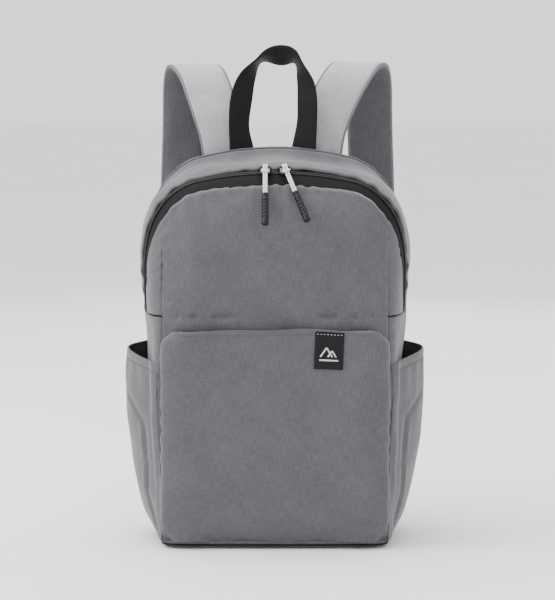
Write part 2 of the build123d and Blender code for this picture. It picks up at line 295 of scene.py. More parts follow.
def band(name, path, width_way, profile, material):
    """Sweeps a closed profile of (across, out) points along a path; width_way is its width's direction."""
    p = np.asarray(path, float)
    n = len(p)
    along = unit(np.gradient(p, axis=0))
    across = unit(width_way - along * (width_way * along).sum(-1, keepdims=True))
    out = np.cross(across, along)
    profile = np.asarray(profile, float)
    if profile.ndim == 2:
        profile = np.broadcast_to(profile, (n,) + profile.shape)
    grid = p[:, None] + across[:, None] * profile[..., :1] + out[:, None] * profile[..., 1:]
    uv = np.stack([profile[..., 0], np.broadcast_to(lengths_along(p)[:, None], profile.shape[:2])], axis=2)
    sides = profile.shape[1]
    faces = grid_faces(n, sides, True) + end_caps(n, sides)
    obj = finish_mesh(name, grid.reshape(-1, 3), faces, uv.reshape(-1, 2), material)
    fix_normals(obj)
    return obj


def flat_profile(width, thickness, count=6):
    """Closed outline of a flat webbing: straight faces and rounded edges."""
    half, t = width / 2, thickness / 2
    flat = half - t * ROUNDING * 2
    top = [(x, t) for x in np.linspace(-flat, flat, count)]
    bottom = [(x, -t) for x, _ in top[::-1]]
    right, left = [(half, t * 0.4), (half, -t * 0.4)], [(-half, -t * 0.4), (-half, t * 0.4)]
    return np.array(top + right + bottom + left)


def stitches(name, path, outward, material, pitch=0.0032, length=0.0021, radius=0.00032, lift=0.0001):
    """A row of separate stitches lying along a path; outward holds the surface's normals there."""
    p = np.asarray(path, float)
    run = lengths_along(p)
    outward = np.broadcast_to(np.asarray(outward, float), p.shape)
    count = max(2, int(run[-1] / pitch))
    verts, faces = [], []
    for i in range(count):
        middle = (i + 0.5) / count * run[-1]
        a, m, b = (read_off(middle + s * length / 2, run, p) for s in (-1, 0, 1))
        out = unit(read_off(middle, run, outward))
        side = unit(np.cross(b - a, out))
        start = len(verts)
        for centre, fat in ((a, 0.3), (m, 1.0), (b, 0.3)):
            for s, o in ((-1, 0), (0, 1), (1, 0), (0, -0.6)):
                verts.append(centre + out * (lift + o * radius * fat) + side * s * radius * fat)
        for k in (0, 4):
            for j in range(4):
                l = (j + 1) % 4
                faces.append((start + k + j, start + k + l, start + k + 4 + l, start + k + 4 + j))
        faces.append((start + 3, start + 2, start + 1, start))
        faces.append((start + 8, start + 9, start + 10, start + 11))
    obj = finish_mesh(name, verts, faces, None, material)
    fix_normals(obj)
    return obj


# ---------------------------------------------------------------- materials
def shader(name, roughness=0.8, metallic=0.0, specular=0.5, sheen=0.0):
    """New material, and short ways to add nodes to it."""
    m = bpy.data.materials.new(name)
    m.use_nodes = True
    b = m.node_tree.nodes["Principled BSDF"]
    b.inputs["Roughness"].default_value = roughness
    b.inputs["Metallic"].default_value = metallic
    b.inputs["Specular IOR Level"].default_value = specular
    b.inputs["Sheen Weight"].default_value = sheen
    b.inputs["Sheen Roughness"].default_value = 0.45
    return m, Nodes(m.node_tree)


class Nodes:
    """Short ways to add and link nodes."""

    def __init__(self, tree):
        self.tree = tree

    def new(self, kind, **inputs):
        node = self.tree.nodes.new("ShaderNode" + kind)
        for key, value in inputs.items():
            key = key.replace("_", " ")
            if isinstance(value, bpy.types.NodeSocket):
                self.tree.links.new(value, node.inputs[key])
            else:
                node.inputs[key].default_value = value
        return node

    def math(self, operation, a, b=0.0, clamp=False):
        node = self.tree.nodes.new("ShaderNodeMath")
        node.operation = operation
        node.use_clamp = clamp
        for index, value in enumerate((a, b)):
            if isinstance(value, bpy.types.NodeSocket):
                self.tree.links.new(value, node.inputs[index])
            else:
                node.inputs[index].default_value = value
        return node.outputs[0]

    def total(self, a, part_a, b, part_b):
        """Sum of two values, each taken so many times."""
        return self.math("ADD", self.math("MULTIPLY", a, part_a), self.math("MULTIPLY", b, part_b))

    def feed(self, name, value):
        """Links a value to the shader's input of that name."""
        self.tree.links.new(value, self.tree.nodes["Principled BSDF"].inputs[name])

    def coords(self, scale, uv=True):
        if uv:
            source = self.tree.nodes.new("ShaderNodeUVMap")
            source.uv_map = "Weave"
            out = source.outputs["UV"]
        else:
            out = self.tree.nodes.new("ShaderNodeTexCoord").outputs["Object"]
        mapping = self.tree.nodes.new("ShaderNodeMapping")
        mapping.inputs["Scale"].default_value = scale
        self.tree.links.new(out, mapping.inputs["Vector"])
        return mapping.outputs["Vector"]

    def noise(self, vector, scale, detail=2.0, rough=0.5):
        node = self.tree.nodes.new("ShaderNodeTexNoise")
        node.inputs["Scale"].default_value = scale
        node.inputs["Detail"].default_value = detail
        node.inputs["Roughness"].default_value = rough
        self.tree.links.new(vector, node.inputs["Vector"])
        return node.outputs["Fac"]

    def ramp(self, value, *stops):
        node = self.tree.nodes.new("ShaderNodeValToRGB")
        self.tree.links.new(value, node.inputs["Fac"])
        elements = node.color_ramp.elements
        while len(elements) < len(stops):
            elements.new(0.5)
        for element, (place, colour) in zip(elements, stops):
            element.position = place
            element.color = (*colour, 1)
        return node.outputs["Color"]

    def bump(self, height, strength, distance, before=None):
        node = self.tree.nodes.new("ShaderNodeBump")
        node.inputs["Strength"].default_value = strength
        node.inputs["Distance"].default_value = distance
        self.tree.links.new(height, node.inputs["Height"])
        if before is not None:
            self.tree.links.new(before, node.inputs["Normal"])
        return node.outputs["Normal"]


def fabric(name, dark, mid, light, roughness=0.72, sheen=0.25, contrast=1.0, thread=1.0):
    """Plain-woven melange: slubby warp and weft yarns, darker and lighter fibres, fine weave relief."""
    m, n = shader(name, roughness, 0, 0.35, sheen)
    fine, slub = 1500 * thread, 110 * thread
    warp = n.noise(n.coords((fine, slub, 1)), 1, 2, 0.6)
    weft = n.noise(n.coords((slub, fine, 1)), 1, 2, 0.6)
    cloud = n.noise(n.coords((1, 1, 1)), 26, 3, 0.6)
    yarns = n.total(warp, 0.5, weft, 0.5)
    mixed = n.total(yarns, 0.82, cloud, 0.18)
    spread = 0.13 / contrast
    n.feed("Base Color", n.ramp(mixed, (0.5 - spread, dark), (0.5, mid), (0.5 + spread, light)))
    soft = n.noise(n.coords((1, 1, 1)), 60, 3, 0.55)
    weave = n.bump(yarns, 0.5, 0.0005)
    n.feed("Normal", n.bump(soft, 0.22, 0.004, weave))
    n.feed("Roughness", n.math("ADD", n.math("MULTIPLY", weft, 0.3), roughness - 0.15))
    return m


def ribbed(name, dark, light, pitch=0.0016, roughness=0.55, uv=True):
    """Nylon webbing: ribs across its width, lengthwise yarns, and a slight gloss."""
    m, n = shader(name, roughness, 0, 0.22, 0.02)
    vector = n.coords((1, 1, 1), uv)
    ribs = n.new("TexWave", Vector=vector, Scale=0.314 / pitch, Distortion=0.4, Detail=1.0)
    ribs.bands_direction = "Y"
    yarns = n.new("TexWave", Vector=vector, Scale=0.314 / (pitch * 1.3), Distortion=0.6, Detail=1.0)
    yarns.bands_direction = "X"
    fibre = n.noise(n.coords((1800, 260, 1), uv), 1, 2, 0.6)
    height = n.total(ribs.outputs["Fac"], 0.7, yarns.outputs["Fac"], 0.5)
    n.feed("Base Color", n.ramp(n.total(height, 0.5, fibre, 0.5), (0.25, dark), (0.85, light)))
    n.feed("Normal", n.bump(height, 0.5, 0.0004))
    return m


def moulded(name, dark, light, roughness=0.4, grain=900, specular=0.5):
    """Moulded plastic, rubber, enamel or thread, with fine grain and slightly lighter patches."""
    m, n = shader(name, roughness, 0, specular)
    vector = n.coords((1, 1, 1), False)
    fine, wide = n.noise(vector, grain, 3, 0.6), n.noise(vector, grain / 12, 2, 0.5)
    n.feed("Base Color", n.ramp(n.total(fine, 0.5, wide, 0.5), (0.35, dark), (0.7, light)))
    n.feed("Roughness", n.math("ADD", n.math("MULTIPLY", wide, 0.25), roughness - 0.12))
    n.feed("Normal", n.bump(fine, 0.25, 0.0002))
    return m


def air_mesh(name, dark, light):
    """Spacer mesh: small holes in a regular grid in a soft knitted face."""
    m, n = shader(name, 0.85, 0, 0.25, 0.4)
    cell = 0.0032
    voronoi = n.new("TexVoronoi", Vector=n.coords((1, 1.25, 1)), Scale=1 / cell, Randomness=0.12)
    holes = n.math("MULTIPLY", voronoi.outputs["Distance"], 2.1, True)
    fibre = n.noise(n.coords((900, 900, 900)), 1, 2, 0.6)
    mixed = n.total(n.math("SUBTRACT", 1.0, holes), 0.55, fibre, 0.35)
    n.feed("Base Color", n.ramp(mixed, (0.15, light), (0.75, dark)))
    n.feed("Normal", n.bump(holes, 0.8, 0.0012))
    return m


GREY = ((0.050, 0.0515, 0.0575), (0.070, 0.072, 0.0795), (0.097, 0.0995, 0.1085))
SHELL = fabric("Heather shell", *GREY)
# the straps are the shell's grey cloth; this several times paler copy is a painted highlight for the strong
# light from above
LIT_STRAP_FABRIC = fabric("Heather strap painted highlight", (0.290, 0.294, 0.304), (0.370, 0.374, 0.384), (0.460, 0.464, 0.474))
DARK_GREY = ((0.035, 0.037, 0.041), (0.052, 0.054, 0.059), (0.075, 0.078, 0.084))
LINING = fabric("Lining", *DARK_GREY, 0.6, 0.1, contrast=0.8, thread=0.8)
WEBBING = ribbed("Webbing", (0.0012, 0.0012, 0.0014), (0.007, 0.007, 0.0078), 0.0017, 0.6)
GROSGRAIN = ribbed("Binding", (0.062, 0.064, 0.069), (0.108, 0.111, 0.118), 0.0013, 0.7)
COIL = moulded("Zip coil", (0.003, 0.003, 0.0034), (0.012, 0.012, 0.013), 0.4, 900, 0.35)
RUBBER = moulded("Grip rubber", (0.0010, 0.0010, 0.0013), (0.004, 0.004, 0.0045), 0.38, 1500, 0.28)
PLASTIC = moulded("Buckle plastic", (0.005, 0.005, 0.0055), (0.016, 0.016, 0.017), 0.38)
ENAMEL = moulded("Slider enamel", (0.003, 0.003, 0.0035), (0.012, 0.012, 0.013), 0.25, 700, 0.6)
MESH = air_mesh("Air mesh", (0.009, 0.009, 0.010), (0.040, 0.041, 0.045))
MID_GREY = ((0.052, 0.0535, 0.059), (0.070, 0.072, 0.079), (0.092, 0.0945, 0.103))
UNDERSIDE = fabric("Strap underside", *MID_GREY, 0.8, 0.1, thread=0.8)
# paler than the shell's grey, like the straps: painted highlight on the bound edges; the back's piping takes
# it too
LIT_BINDING = ribbed("Strap binding painted light", (0.115, 0.118, 0.126), (0.185, 0.189, 0.199), 0.0013, 0.7)
THREAD = moulded("Thread", (0.18, 0.185, 0.2), (0.28, 0.285, 0.3), 0.6, 3000, 0.3)
DARK_THREAD = moulded("Dark thread", (0.03, 0.03, 0.032), (0.07, 0.07, 0.075), 0.6, 3000, 0.3)
EMBLEM = moulded("Emblem thread", (0.42, 0.42, 0.43), (0.62, 0.62, 0.63), 0.6, 2600, 0.3)


# ---------------------------------------------------------------- camera, light and floor
def studio():
    """Camera, even light from all round with three soft lamps, and a pale floor."""
    scene = bpy.context.scene
    camera = bpy.data.objects.new("Camera", bpy.data.cameras.new("Camera"))
    scene.collection.objects.link(camera)
    distance, rise = 2.3, radians(6)
    aim = Vector((0.0025, 0, 0.238))
    camera.location = aim + Vector((0, -cos(rise), sin(rise))) * distance
    camera.rotation_mode = "QUATERNION"
    camera.rotation_quaternion = (aim - camera.location).to_track_quat("-Z", "Y")
    camera.data.lens = 138
    camera.data.clip_end = 50
    scene.camera = camera

    world = bpy.data.worlds.new("Studio")
    scene.world = world
    world.use_nodes = True
    background = world.node_tree.nodes["Background"]
    background.inputs["Color"].default_value = (1, 1, 1, 1)
    background.inputs["Strength"].default_value = 1.5

    for name, place, size, power, colour in (
        ("Key", (-1.6, -0.5, 1.6), 1.1, 30, (1, 0.995, 0.985)),
        ("Top", (-0.3, 0.2, 1.9), 1.3, 30, (1, 1, 1)),
        ("Back", (0.4, 1.9, 1.1), 1.6, 10, (1, 1, 1)),
    ):
        light = bpy.data.lights.new(name, "AREA")
        light.size, light.energy, light.color = size, power, colour
        lamp = bpy.data.objects.new(name, light)
        lamp.location = place
        lamp.rotation_mode = "QUATERNION"
        lamp.rotation_quaternion = (Vector((0, 0, 0.25)) - Vector(place)).to_track_quat("-Z", "Y")
        scene.collection.objects.link(lamp)

    m, n = shader("Floor", 0.9, 0, 0.2)
    cloud = n.noise(n.coords((1, 1, 1), False), 3, 2, 0.5)
    n.feed("Base Color", n.ramp(cloud, (0.3, (0.90, 0.90, 0.90)), (0.7, (0.93, 0.93, 0.93))))
    reach, level = 14, -0.0006
    corners = [(x * reach, y * reach, level) for x, y in ((-1, -1), (1, -1), (1, 1), (-1, 1))]
    finish_mesh("Floor", corners, [(0, 1, 2, 3)], None, m, False)


studio()

# ---------------------------------------------------------------- the bag's outside, read off the solids
skin = tree(
    "base_panel", "front_panel_lower", "side_panel_left", "side_panel_right", "zip_end_left", "zip_end_right",
    "rear_gusset", "zip_tape_rear", "zip_tape_front", "zip_teeth_rear", "zip_teeth_front", "front_panel",
    "front_gusset_left", "front_gusset_right",
)
ZIP_Y = RIDGE[1] + (RIDGE[2] - FOLD_Z) * math.tan(TILT)  # where the zip's plane crosses the fold's height


def outermost(origin, direction):
    """Where a line from far out, coming in along direction, first meets the bag."""
    direction = unit(direction)
    start = np.asarray(origin, float) + direction * 0.4
    hit = skin.ray_cast(Vector(start), Vector(-direction))[0]
    return np.array(hit) if hit else None


def mended(points):
    """Fills in points that slipped through a seam's gap, from their neighbours."""
    p = np.array([q if q is not None else np.full(3, np.nan) for q in points])
    middle = np.nanmedian(p, axis=0)
    size = np.linalg.norm(p - middle, axis=1)
    for i in range(len(p)):
        around = (i - 3, i - 2, i - 1, i + 1, i + 2, i + 3)
        near = [j for j in around if 0 <= j < len(p) and not np.isnan(p[j, 0])]
        if np.isnan(p[i, 0]) or abs(size[i] - np.median(size[near])) > 0.02:
            p[i] = np.nan
    good = ~np.isnan(p[:, 0])
    for k in range(3):
        p[:, k] = np.interp(np.arange(len(p)), np.arange(len(p))[good], p[good, k])
    return p


def arc_over(distance, angles, tilt=None, depth=None):
    """Points on the bag in a plane parallel to the zip's, that far behind it, at angles from straight up."""
    tilt = TILT if tilt is None else tilt
    depth = ZIP_Y + distance / cos(TILT) if depth is None else depth
    up = np.array([0, -sin(tilt), cos(tilt)])
    origin = np.array([0, depth, FOLD_Z])
    return mended([outermost(origin, X * sin(a) + up * cos(a)) for a in angles])


def front_at(x, z):
    """Point of the bag's front at a place across and up."""
    hit = outermost((x, 0, z), (0, -1, 0))
    return hit if hit is not None else np.array([x, -0.06, z])


def side_at(hand, y, z):
    """Point of the bag's side at a place back and up, or None where a seam's gap is."""
    return outermost((0, y, z), (hand, 0, 0))


def narrowing(z):
    """How far the bag's corners draw in close to the base."""
    return 0.0035 * (1 - smooth_step(z, BASE_Z, 0.02))


TAPE_FRONT, TAPE_REAR = 0.012, 0.0045  # from the teeth to the cloths' edges
SIDE_TOP = 0.2270  # no line meets the sides above this, in the seam under the zip's ends
SIDE_DEEP, SIDE_SLOPE = 0.0498, 0.45  # nor behind this, where they go on at this slope
ARC_STEPS = 181
ANGLES = np.radians(np.linspace(-89.7, 89.7, ARC_STEPS))
zip_front_edge = arc_over(-TAPE_FRONT, ANGLES)


# ---------------------------------------------------------------- soft relief of the fabric
def folds(a, b, seed=0.0):
    """Gentle uneven relief in metres, from a few crossing waves; a and b are lengths in metres."""
    s = seed
    return 0.0005 * (
        np.sin(38 * a + 11 * b + s)
        + 0.8 * np.sin(61 * b - 23 * a + 2.1 * s)
        + 0.6 * np.sin(97 * a + 71 * b + 0.7 * s)
        + 0.5 * np.sin(143 * b - 88 * a + 1.3 * s)
    ) / 1.6


def pucker(along, from_seam, pitch=0.011, depth=0.0009, reach=0.014, seed=0.0):
    """Short gathers that run away from a seam and die out."""
    wave = np.sin(2 * pi * along / pitch + 1.7 * np.sin(along * 31 + seed) + seed)
    return depth * wave * (0.55 + 0.45 * np.sin(along * 57 + 2 * seed)) * np.exp(-np.abs(from_seam) / reach)


def from_segment(p, a, b):
    """How far points lie from the line between a and b, and how far along it they are, from 0 to 1."""
    a, b = np.asarray(a, float), np.asarray(b, float)
    d = b - a
    t = np.clip(((p - a) @ d) / (d @ d), 0, 1)
    return np.linalg.norm(p - a - t[..., None] * d, axis=-1), t


def crease(p, a, b, width, depth):
    """A valley along the line from a to b, on points p given as two coordinates."""
    off, t = from_segment(p, a, b)
    return -depth * np.exp(-((off / width) ** 2)) * np.sin(np.clip(t, 0.02, 0.98) * pi) ** 0.5


# ---------------------------------------------------------------- front panel
def front_panel():
    """One cloth from the base to the zip."""
    rows, cols = 150, 111
    edge_x = zip_front_edge[:, 0]
    steps, middle = np.arange(ARC_STEPS), ARC_STEPS // 2
    halves = ((-1, np.s_[: middle + 1]), (1, np.s_[middle:]))
    ends = [np.interp(hand * SEAM_X, edge_x[part], steps[part]) for hand, part in halves]
    top = resample(read_off(np.linspace(*ends, 400), steps, zip_front_edge), cols)
    s = np.linspace(-1, 1, cols)
    grid = np.zeros((rows, cols, 3))
    corner_z = top[0, 2]
    heights = BASE_Z + (corner_z - BASE_Z) * np.linspace(0, 1, rows)
    for i, z in enumerate(heights):
        t = i / (rows - 1)
        lift = smooth_step(t, 0.45, 1.0)
        x = s * (SEAM_X - narrowing(z)) * (1 - lift) + top[:, 0] * lift
        rise = (top[:, 2] - corner_z) * t ** 2.2
        for j in range(cols):
            grid[i, j] = front_at(x[j], z + rise[j]) if i < rows - 1 else top[j]
    grid = relax(grid, 3)
    a, b = grid[..., 0], grid[..., 2]
    from_top = np.linalg.norm(grid - grid[-1][None], axis=2)
    from_side = SEAM_X - np.abs(a)
    out = normals(grid, -Y)
    relief = folds(a, b, 1.0) * 1.6
    relief += pucker(a, from_top, 0.013, 0.0010, 0.016, 0.4)
    relief += pucker(b, from_side, 0.016, 0.0007, 0.010, 1.4)
    p = np.stack([a, b], axis=-1)
    for start, end, width, depth in (
        ((-0.1095, 0.300), (-0.088, 0.268), 0.004, 0.0012),
        ((0.109, 0.296), (0.084, 0.262), 0.004, 0.0012),
        ((-0.107, 0.246), (-0.078, 0.236), 0.003, 0.0010),
        ((0.108, 0.240), (0.080, 0.234), 0.003, 0.0010),
    ):
        relief += crease(p, start, end, width, depth)
    relief *= smooth_step(from_side, 0.0, 0.006) * 0.9 + 0.1
    # the edge is turned under beside the zip, and wanders a little
    roll = bump_at(from_top, 0.004, 0.0035) * 0.0009 - 0.0010 * (1 - smooth_step(from_top, 0, 0.0022))
    grid = grid + out * (CLOTH_LIFT + relief + roll)[..., None]
    wander = 0.0011 * (np.sin(95 * a[-1]) + 0.6 * np.sin(210 * a[-1] + 1))
    fall = np.exp(-from_top / 0.006)[..., None]
    grid = grid + fall * wander[None, :, None] * ZIP_NORMAL * 0.8
    obj = cloth("front_cloth", grid, -Y, CLOTH_THICK, SHELL)
    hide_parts("front_panel", "front_panel_lower")
    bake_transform(obj)
    inner = cloth("front_lining", grid[1:-3, 1:-1] - out[1:-3, 1:-1] * 0.0016, -Y, 0.0006, LINING)
    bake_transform(inner)
    columns = [grid[::-1, j] for j in range(1, cols - 1)]
    line = np.array([read_off(STITCH_IN, lengths_along(column), column) for column in columns])
    seam = stitches("front_top_stitch", resample(line, 240), resample(out[-3, 1:-1], 240), THREAD)
    place(seam, "flap", "shell_fabric")
    return grid


front_grid = front_panel()


# ---------------------------------------------------------------- sides and rear
def flap_gussets():
    """The narrow side strips of the flap, between its front seams and the zip."""
    for name, hand in HANDS:
        rows, cols = 40, 16
        middle = ARC_STEPS // 2
        half = zip_front_edge[: middle + 1][::-1] if hand < 0 else zip_front_edge[middle:]
        half = half[np.argsort(half[:, 2])]
        corner_z = float(front_grid[-1, 0 if hand < 0 else -1, 2])
        grid = np.zeros((rows, cols, 3))
        for i in range(rows):
            z = FOLD_Z + (corner_z - FOLD_Z) * (i / (rows - 1)) * 0.985
            rear = read_off(z, half[:, 2], half)
            front = front_at(hand * SEAM_X, z)
            for j in range(cols):
                y = front[1] + (rear[1] - front[1]) * j / (cols - 1)
                hit = side_at(hand, y, z)
                grid[i, j] = hit if hit is not None else rear
            grid[i, 0], grid[i, -1] = front, rear
        grid = relax(grid, 2)
        out = normals(grid, X * hand)
        b, c = grid[..., 2], grid[..., 1]
        across = np.linalg.norm(grid - grid[:, :1], axis=2)
        relief = folds(c, b, 2.0 + hand) * 1.3 + pucker(b, across, 0.012, 0.0008, 0.008, hand)
        grid = grid + out * (CLOTH_LIFT + relief)[..., None]
        obj = cloth(f"flap_gusset_{name}", grid, X * hand, CLOTH_THICK, SHELL, LINING)
        place(obj, "flap", "shell_fabric", f"front_gusset_{name}")


def side_walls():
    """The cloth of each side from the base to the fold's height, behind the side pockets."""
    for name, hand in HANDS:
        rows, cols = 90, 48
        grid = np.zeros((rows, cols, 3))
        for i in range(rows):
            z = BASE_Z + (FOLD_Z - 0.0015 - BASE_Z) * i / (rows - 1)
            front = front_at(hand * (SEAM_X - narrowing(z)), z)
            for j in range(cols):
                y = front[1] + (BACK_Y - front[1]) * j / (cols - 1)
                deep = min(y, SIDE_DEEP)
                hit = side_at(hand, deep, min(z, SIDE_TOP))
                grid[i, j] = (hit[0] - hand * SIDE_SLOPE * (y - deep), y, z) if hit is not None else front
            grid[i, 0] = front
        grid = relax(grid, 3)
        out = normals(grid, X * hand)
        b, c = grid[..., 2], grid[..., 1]
        relief = folds(c, b, 3.0 + hand) * 1.5
        relief += pucker(b, c + 0.059, 0.014, 0.0008, 0.010, hand)
        relief += pucker(b, BACK_Y - c, 0.017, 0.0008, 0.010, 2 + hand)
        relief *= smooth_step(BACK_Y - c, -0.003, 0.012)
        grid = grid + out * (0.0009 + relief)[..., None]
        grid[:, -1] += Y * SEAM_BACK - out[:, -1] * SEAM_IN
        obj = cloth(f"side_cloth_{name}", grid, X * hand, CLOTH_THICK, SHELL, LINING)
        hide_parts(f"side_panel_{name}", f"zip_end_{name}")
        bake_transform(obj)


def rear_shell():
    """The cloth behind the zip: up one side, over the top and down the other."""
    rows, cols = ARC_STEPS, 40
    grid = np.zeros((rows, cols, 3))
    first, last = ZIP_Y + TAPE_REAR / cos(TILT), BACK_Y - 0.0004
    for j in range(cols):
        v = j / (cols - 1)
        grid[:, j] = arc_over(0, ANGLES, TILT * (1 - v), first + (last - first) * v)
    # the last arc lies in the back's seam, so it goes on from the two before it
    grid[:, -1] = grid[:, -2] * 2 - grid[:, -3]
    grid = relax(grid, 4)
    hub = np.array([0, 0.01, 0.24])
    out = normals(grid, grid - hub)
    run = lengths_along(grid[:, cols // 2])[:, None]
    from_zip = np.linalg.norm(grid - grid[:, :1], axis=2)
    from_back = np.linalg.norm(grid - grid[:, -1:], axis=2)
    over_top = smooth_step(grid[..., 2], 0.30, 0.37)
    relief = folds(run, grid[..., 1], 5.0) * 2.0
    relief += pucker(run, from_zip, 0.021, 0.0013, 0.020, 0.3)
    relief += pucker(run, from_back, 0.026, 0.0013, 0.018, 1.3)
    # the top slackens between the haul loop and the zip
    a, b = grid[..., 0], grid[..., 1]
    relief -= 0.0022 * bump_at(a, 0.0, 0.06) * bump_at(from_zip, 0.045, 0.025) * over_top
    relief += 0.0012 * np.sin(a * 75 + b * 40) * bump_at(from_zip, 0.05, 0.03) * over_top
    roll = bump_at(from_zip, 0.003, 0.003) * 0.0008 - 0.0008 * (1 - smooth_step(from_zip, 0, 0.002))
    relief *= smooth_step(from_back, -0.003, 0.012)
    grid = grid + out * (CLOTH_LIFT + relief + roll)[..., None]
    grid[:, -1] += Y * SEAM_BACK - out[:, -1] * SEAM_IN
    # both ends tuck in behind the side walls
    for row in (0, -1):
        grid[row] -= Z * 0.0026 + out[row] * 0.0008
    obj = cloth("rear_cloth", grid, grid - hub, CLOTH_THICK, SHELL, LINING)
    place(obj, "pack", "shell_fabric", "rear_gusset")
    line = np.array([read_off(STITCH_IN, from_zip[i], grid[i]) for i in range(3, rows - 3)])
    seam = stitches("rear_top_stitch", resample(line, 420), resample(out[3:-3, 2], 420), THREAD)
    place(seam, "pack", "shell_fabric")
    piping = tube("rear_piping", resample(grid[:, -1] + out[:, -1] * 0.0008, 260), 0.0013, SHELL, 8)
    place(piping, "pack", "shell_fabric")


flap_gussets()
side_walls()
rear_shell()


# ---------------------------------------------------------------- zip
def zip_parts():
    """Woven tapes on their solids, and two rows of coil teeth that mesh on the zip's line."""
    for node in ("zip_tape_front", "zip_tape_rear"):
        paint(node, TAPE_SOLID)
    tooth, hub = 0.0013, np.array([0, 0.01, 0.22])
    profile = [
        (-0.00085, -0.0006), (-0.00085, 0.0001), (-0.0005, 0.00042), (0.0, 0.00055), (0.0006, 0.0004),
        (0.0011, 0.0), (0.0012, -0.0006),
    ]
    for name, side, body in (("zip_coil_front", -1, "flap"), ("zip_coil_rear", 1, "pack")):
        line = arc_over(side * 0.00095, np.radians(np.linspace(-89.4, 89.4, 260)))
        count = int(np.linalg.norm(np.diff(line, axis=0), axis=1).sum() / tooth) * 4
        line = resample(line, count)
        along = unit(np.gradient(line, axis=0))
        across = unit(np.cross(along, line - hub))
        across *= np.sign((across @ ZIP_NORMAL).mean()) * side
        out = unit(np.cross(along, across))
        out *= np.sign((out * (line - hub)).sum(-1)).mean().round() or 1
        rib = 0.78 + 0.22 * np.cos(np.arange(count) * pi / 2)
        grid = np.zeros((count, len(profile), 3))
        for k, (a, o) in enumerate(profile):
            scale = rib if o > -0.0005 else np.ones(count)
            grid[:, k] = line + across * a + out * (o * scale + (scale - 1) * 0.0005)[:, None]
        faces = grid_faces(count, len(profile), True) + end_caps(count, len(profile))
        obj = finish_mesh(name, grid.reshape(-1, 3), faces, None, COIL)
        fix_normals(obj)
        place(obj, body, "zip_teeth", "zip_teeth_front" if side < 0 else "zip_teeth_rear")


def paint(node, material):
    """Gives a solid of the frame its finished material."""
    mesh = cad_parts[node].data
    mesh.materials.clear()
    mesh.materials.append(material)


TAPE_SOLID = ribbed("Zip tape solid", (0.0015, 0.0015, 0.0018), (0.005, 0.005, 0.0055), 0.0011, 0.8, uv=False)
FOAM = moulded("Foam", (0.10, 0.10, 0.11), (0.16, 0.16, 0.17), 0.8, 900, 0.2)
CORD = ribbed("Braided cord", (0.62, 0.63, 0.65), (0.84, 0.85, 0.86), 0.0011, 0.6)

SLIDER_LEAN = radians(38)
SLIDER_OUT = np.array([0, -sin(SLIDER_LEAN), cos(SLIDER_LEAN)])
SLIDER_FRONT = np.array([0, -cos(SLIDER_LEAN), -sin(SLIDER_LEAN)])
SLIDER_X, BAR_HEIGHT, PLATE_LOW, PLATE_THICK = 0.0095, 0.008, 0.0014, 0.0018
CORD_LONG, GRIP_LONG, GRIP_RADIUS = 0.029, 0.036, 0.0033
TOP_RADIUS = 0.310


def sliders():
    """Two sliders that meet at the top: plate, wire bail and pull."""
    steps = 40
    for name, hand in HANDS:
        sag = TOP_RADIUS - math.sqrt(TOP_RADIUS**2 - SLIDER_X**2)
        foot = np.array([hand * SLIDER_X, RIDGE[1], RIDGE[2] - sag])

        def at(x, forward, height):
            return foot + X * x + SLIDER_FRONT * forward + SLIDER_OUT * height

        # shield-shaped plate with turned-down edges
        outline = []
        for k in range(steps):
            a = 2 * pi * k / steps
            wide = 0.0062 * (1 - 0.16 * sin(a)) * np.sign(cos(a)) * abs(cos(a)) ** 0.7
            outline.append((wide, 0.0046 * np.sign(sin(a)) * abs(sin(a)) ** 0.8))
        rings = ((0.92, 0.0), (1.0, 0.0004), (1.0, 0.0012), (0.94, 0.0017), (0.80, 0.0018), (0.3, 0.0019))
        verts = [at(x * s, f * s, PLATE_LOW + h) for s, h in rings for x, f in outline]
        faces = grid_faces(len(rings), steps, True) + [cap[::-1] for cap in end_caps(len(rings), steps)]
        plate = finish_mesh(f"slider_plate_{name}", verts, faces, None, ENAMEL)
        fix_normals(plate)
        top = PLATE_LOW + PLATE_THICK
        leg = [(0.0052, 0.0006, top - 0.0004), (0.0056, 0.0002, top + 0.0026)]
        leg.append((0.0042, 0, BAR_HEIGHT - 0.0003))
        route = [(-x, f, h) for x, f, h in leg] + [(0, 0, BAR_HEIGHT)] + leg[::-1]
        bail = tube(f"slider_bail_{name}", spline([at(*step) for step in route], 40), 0.0011, ENAMEL, 10)
        for piece in (plate, bail):
            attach(piece, f"slider_{name}")
        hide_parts(f"slider_{name}")
        pull(name, at(0, 0, BAR_HEIGHT), 0 if hand < 0 else radians(20))


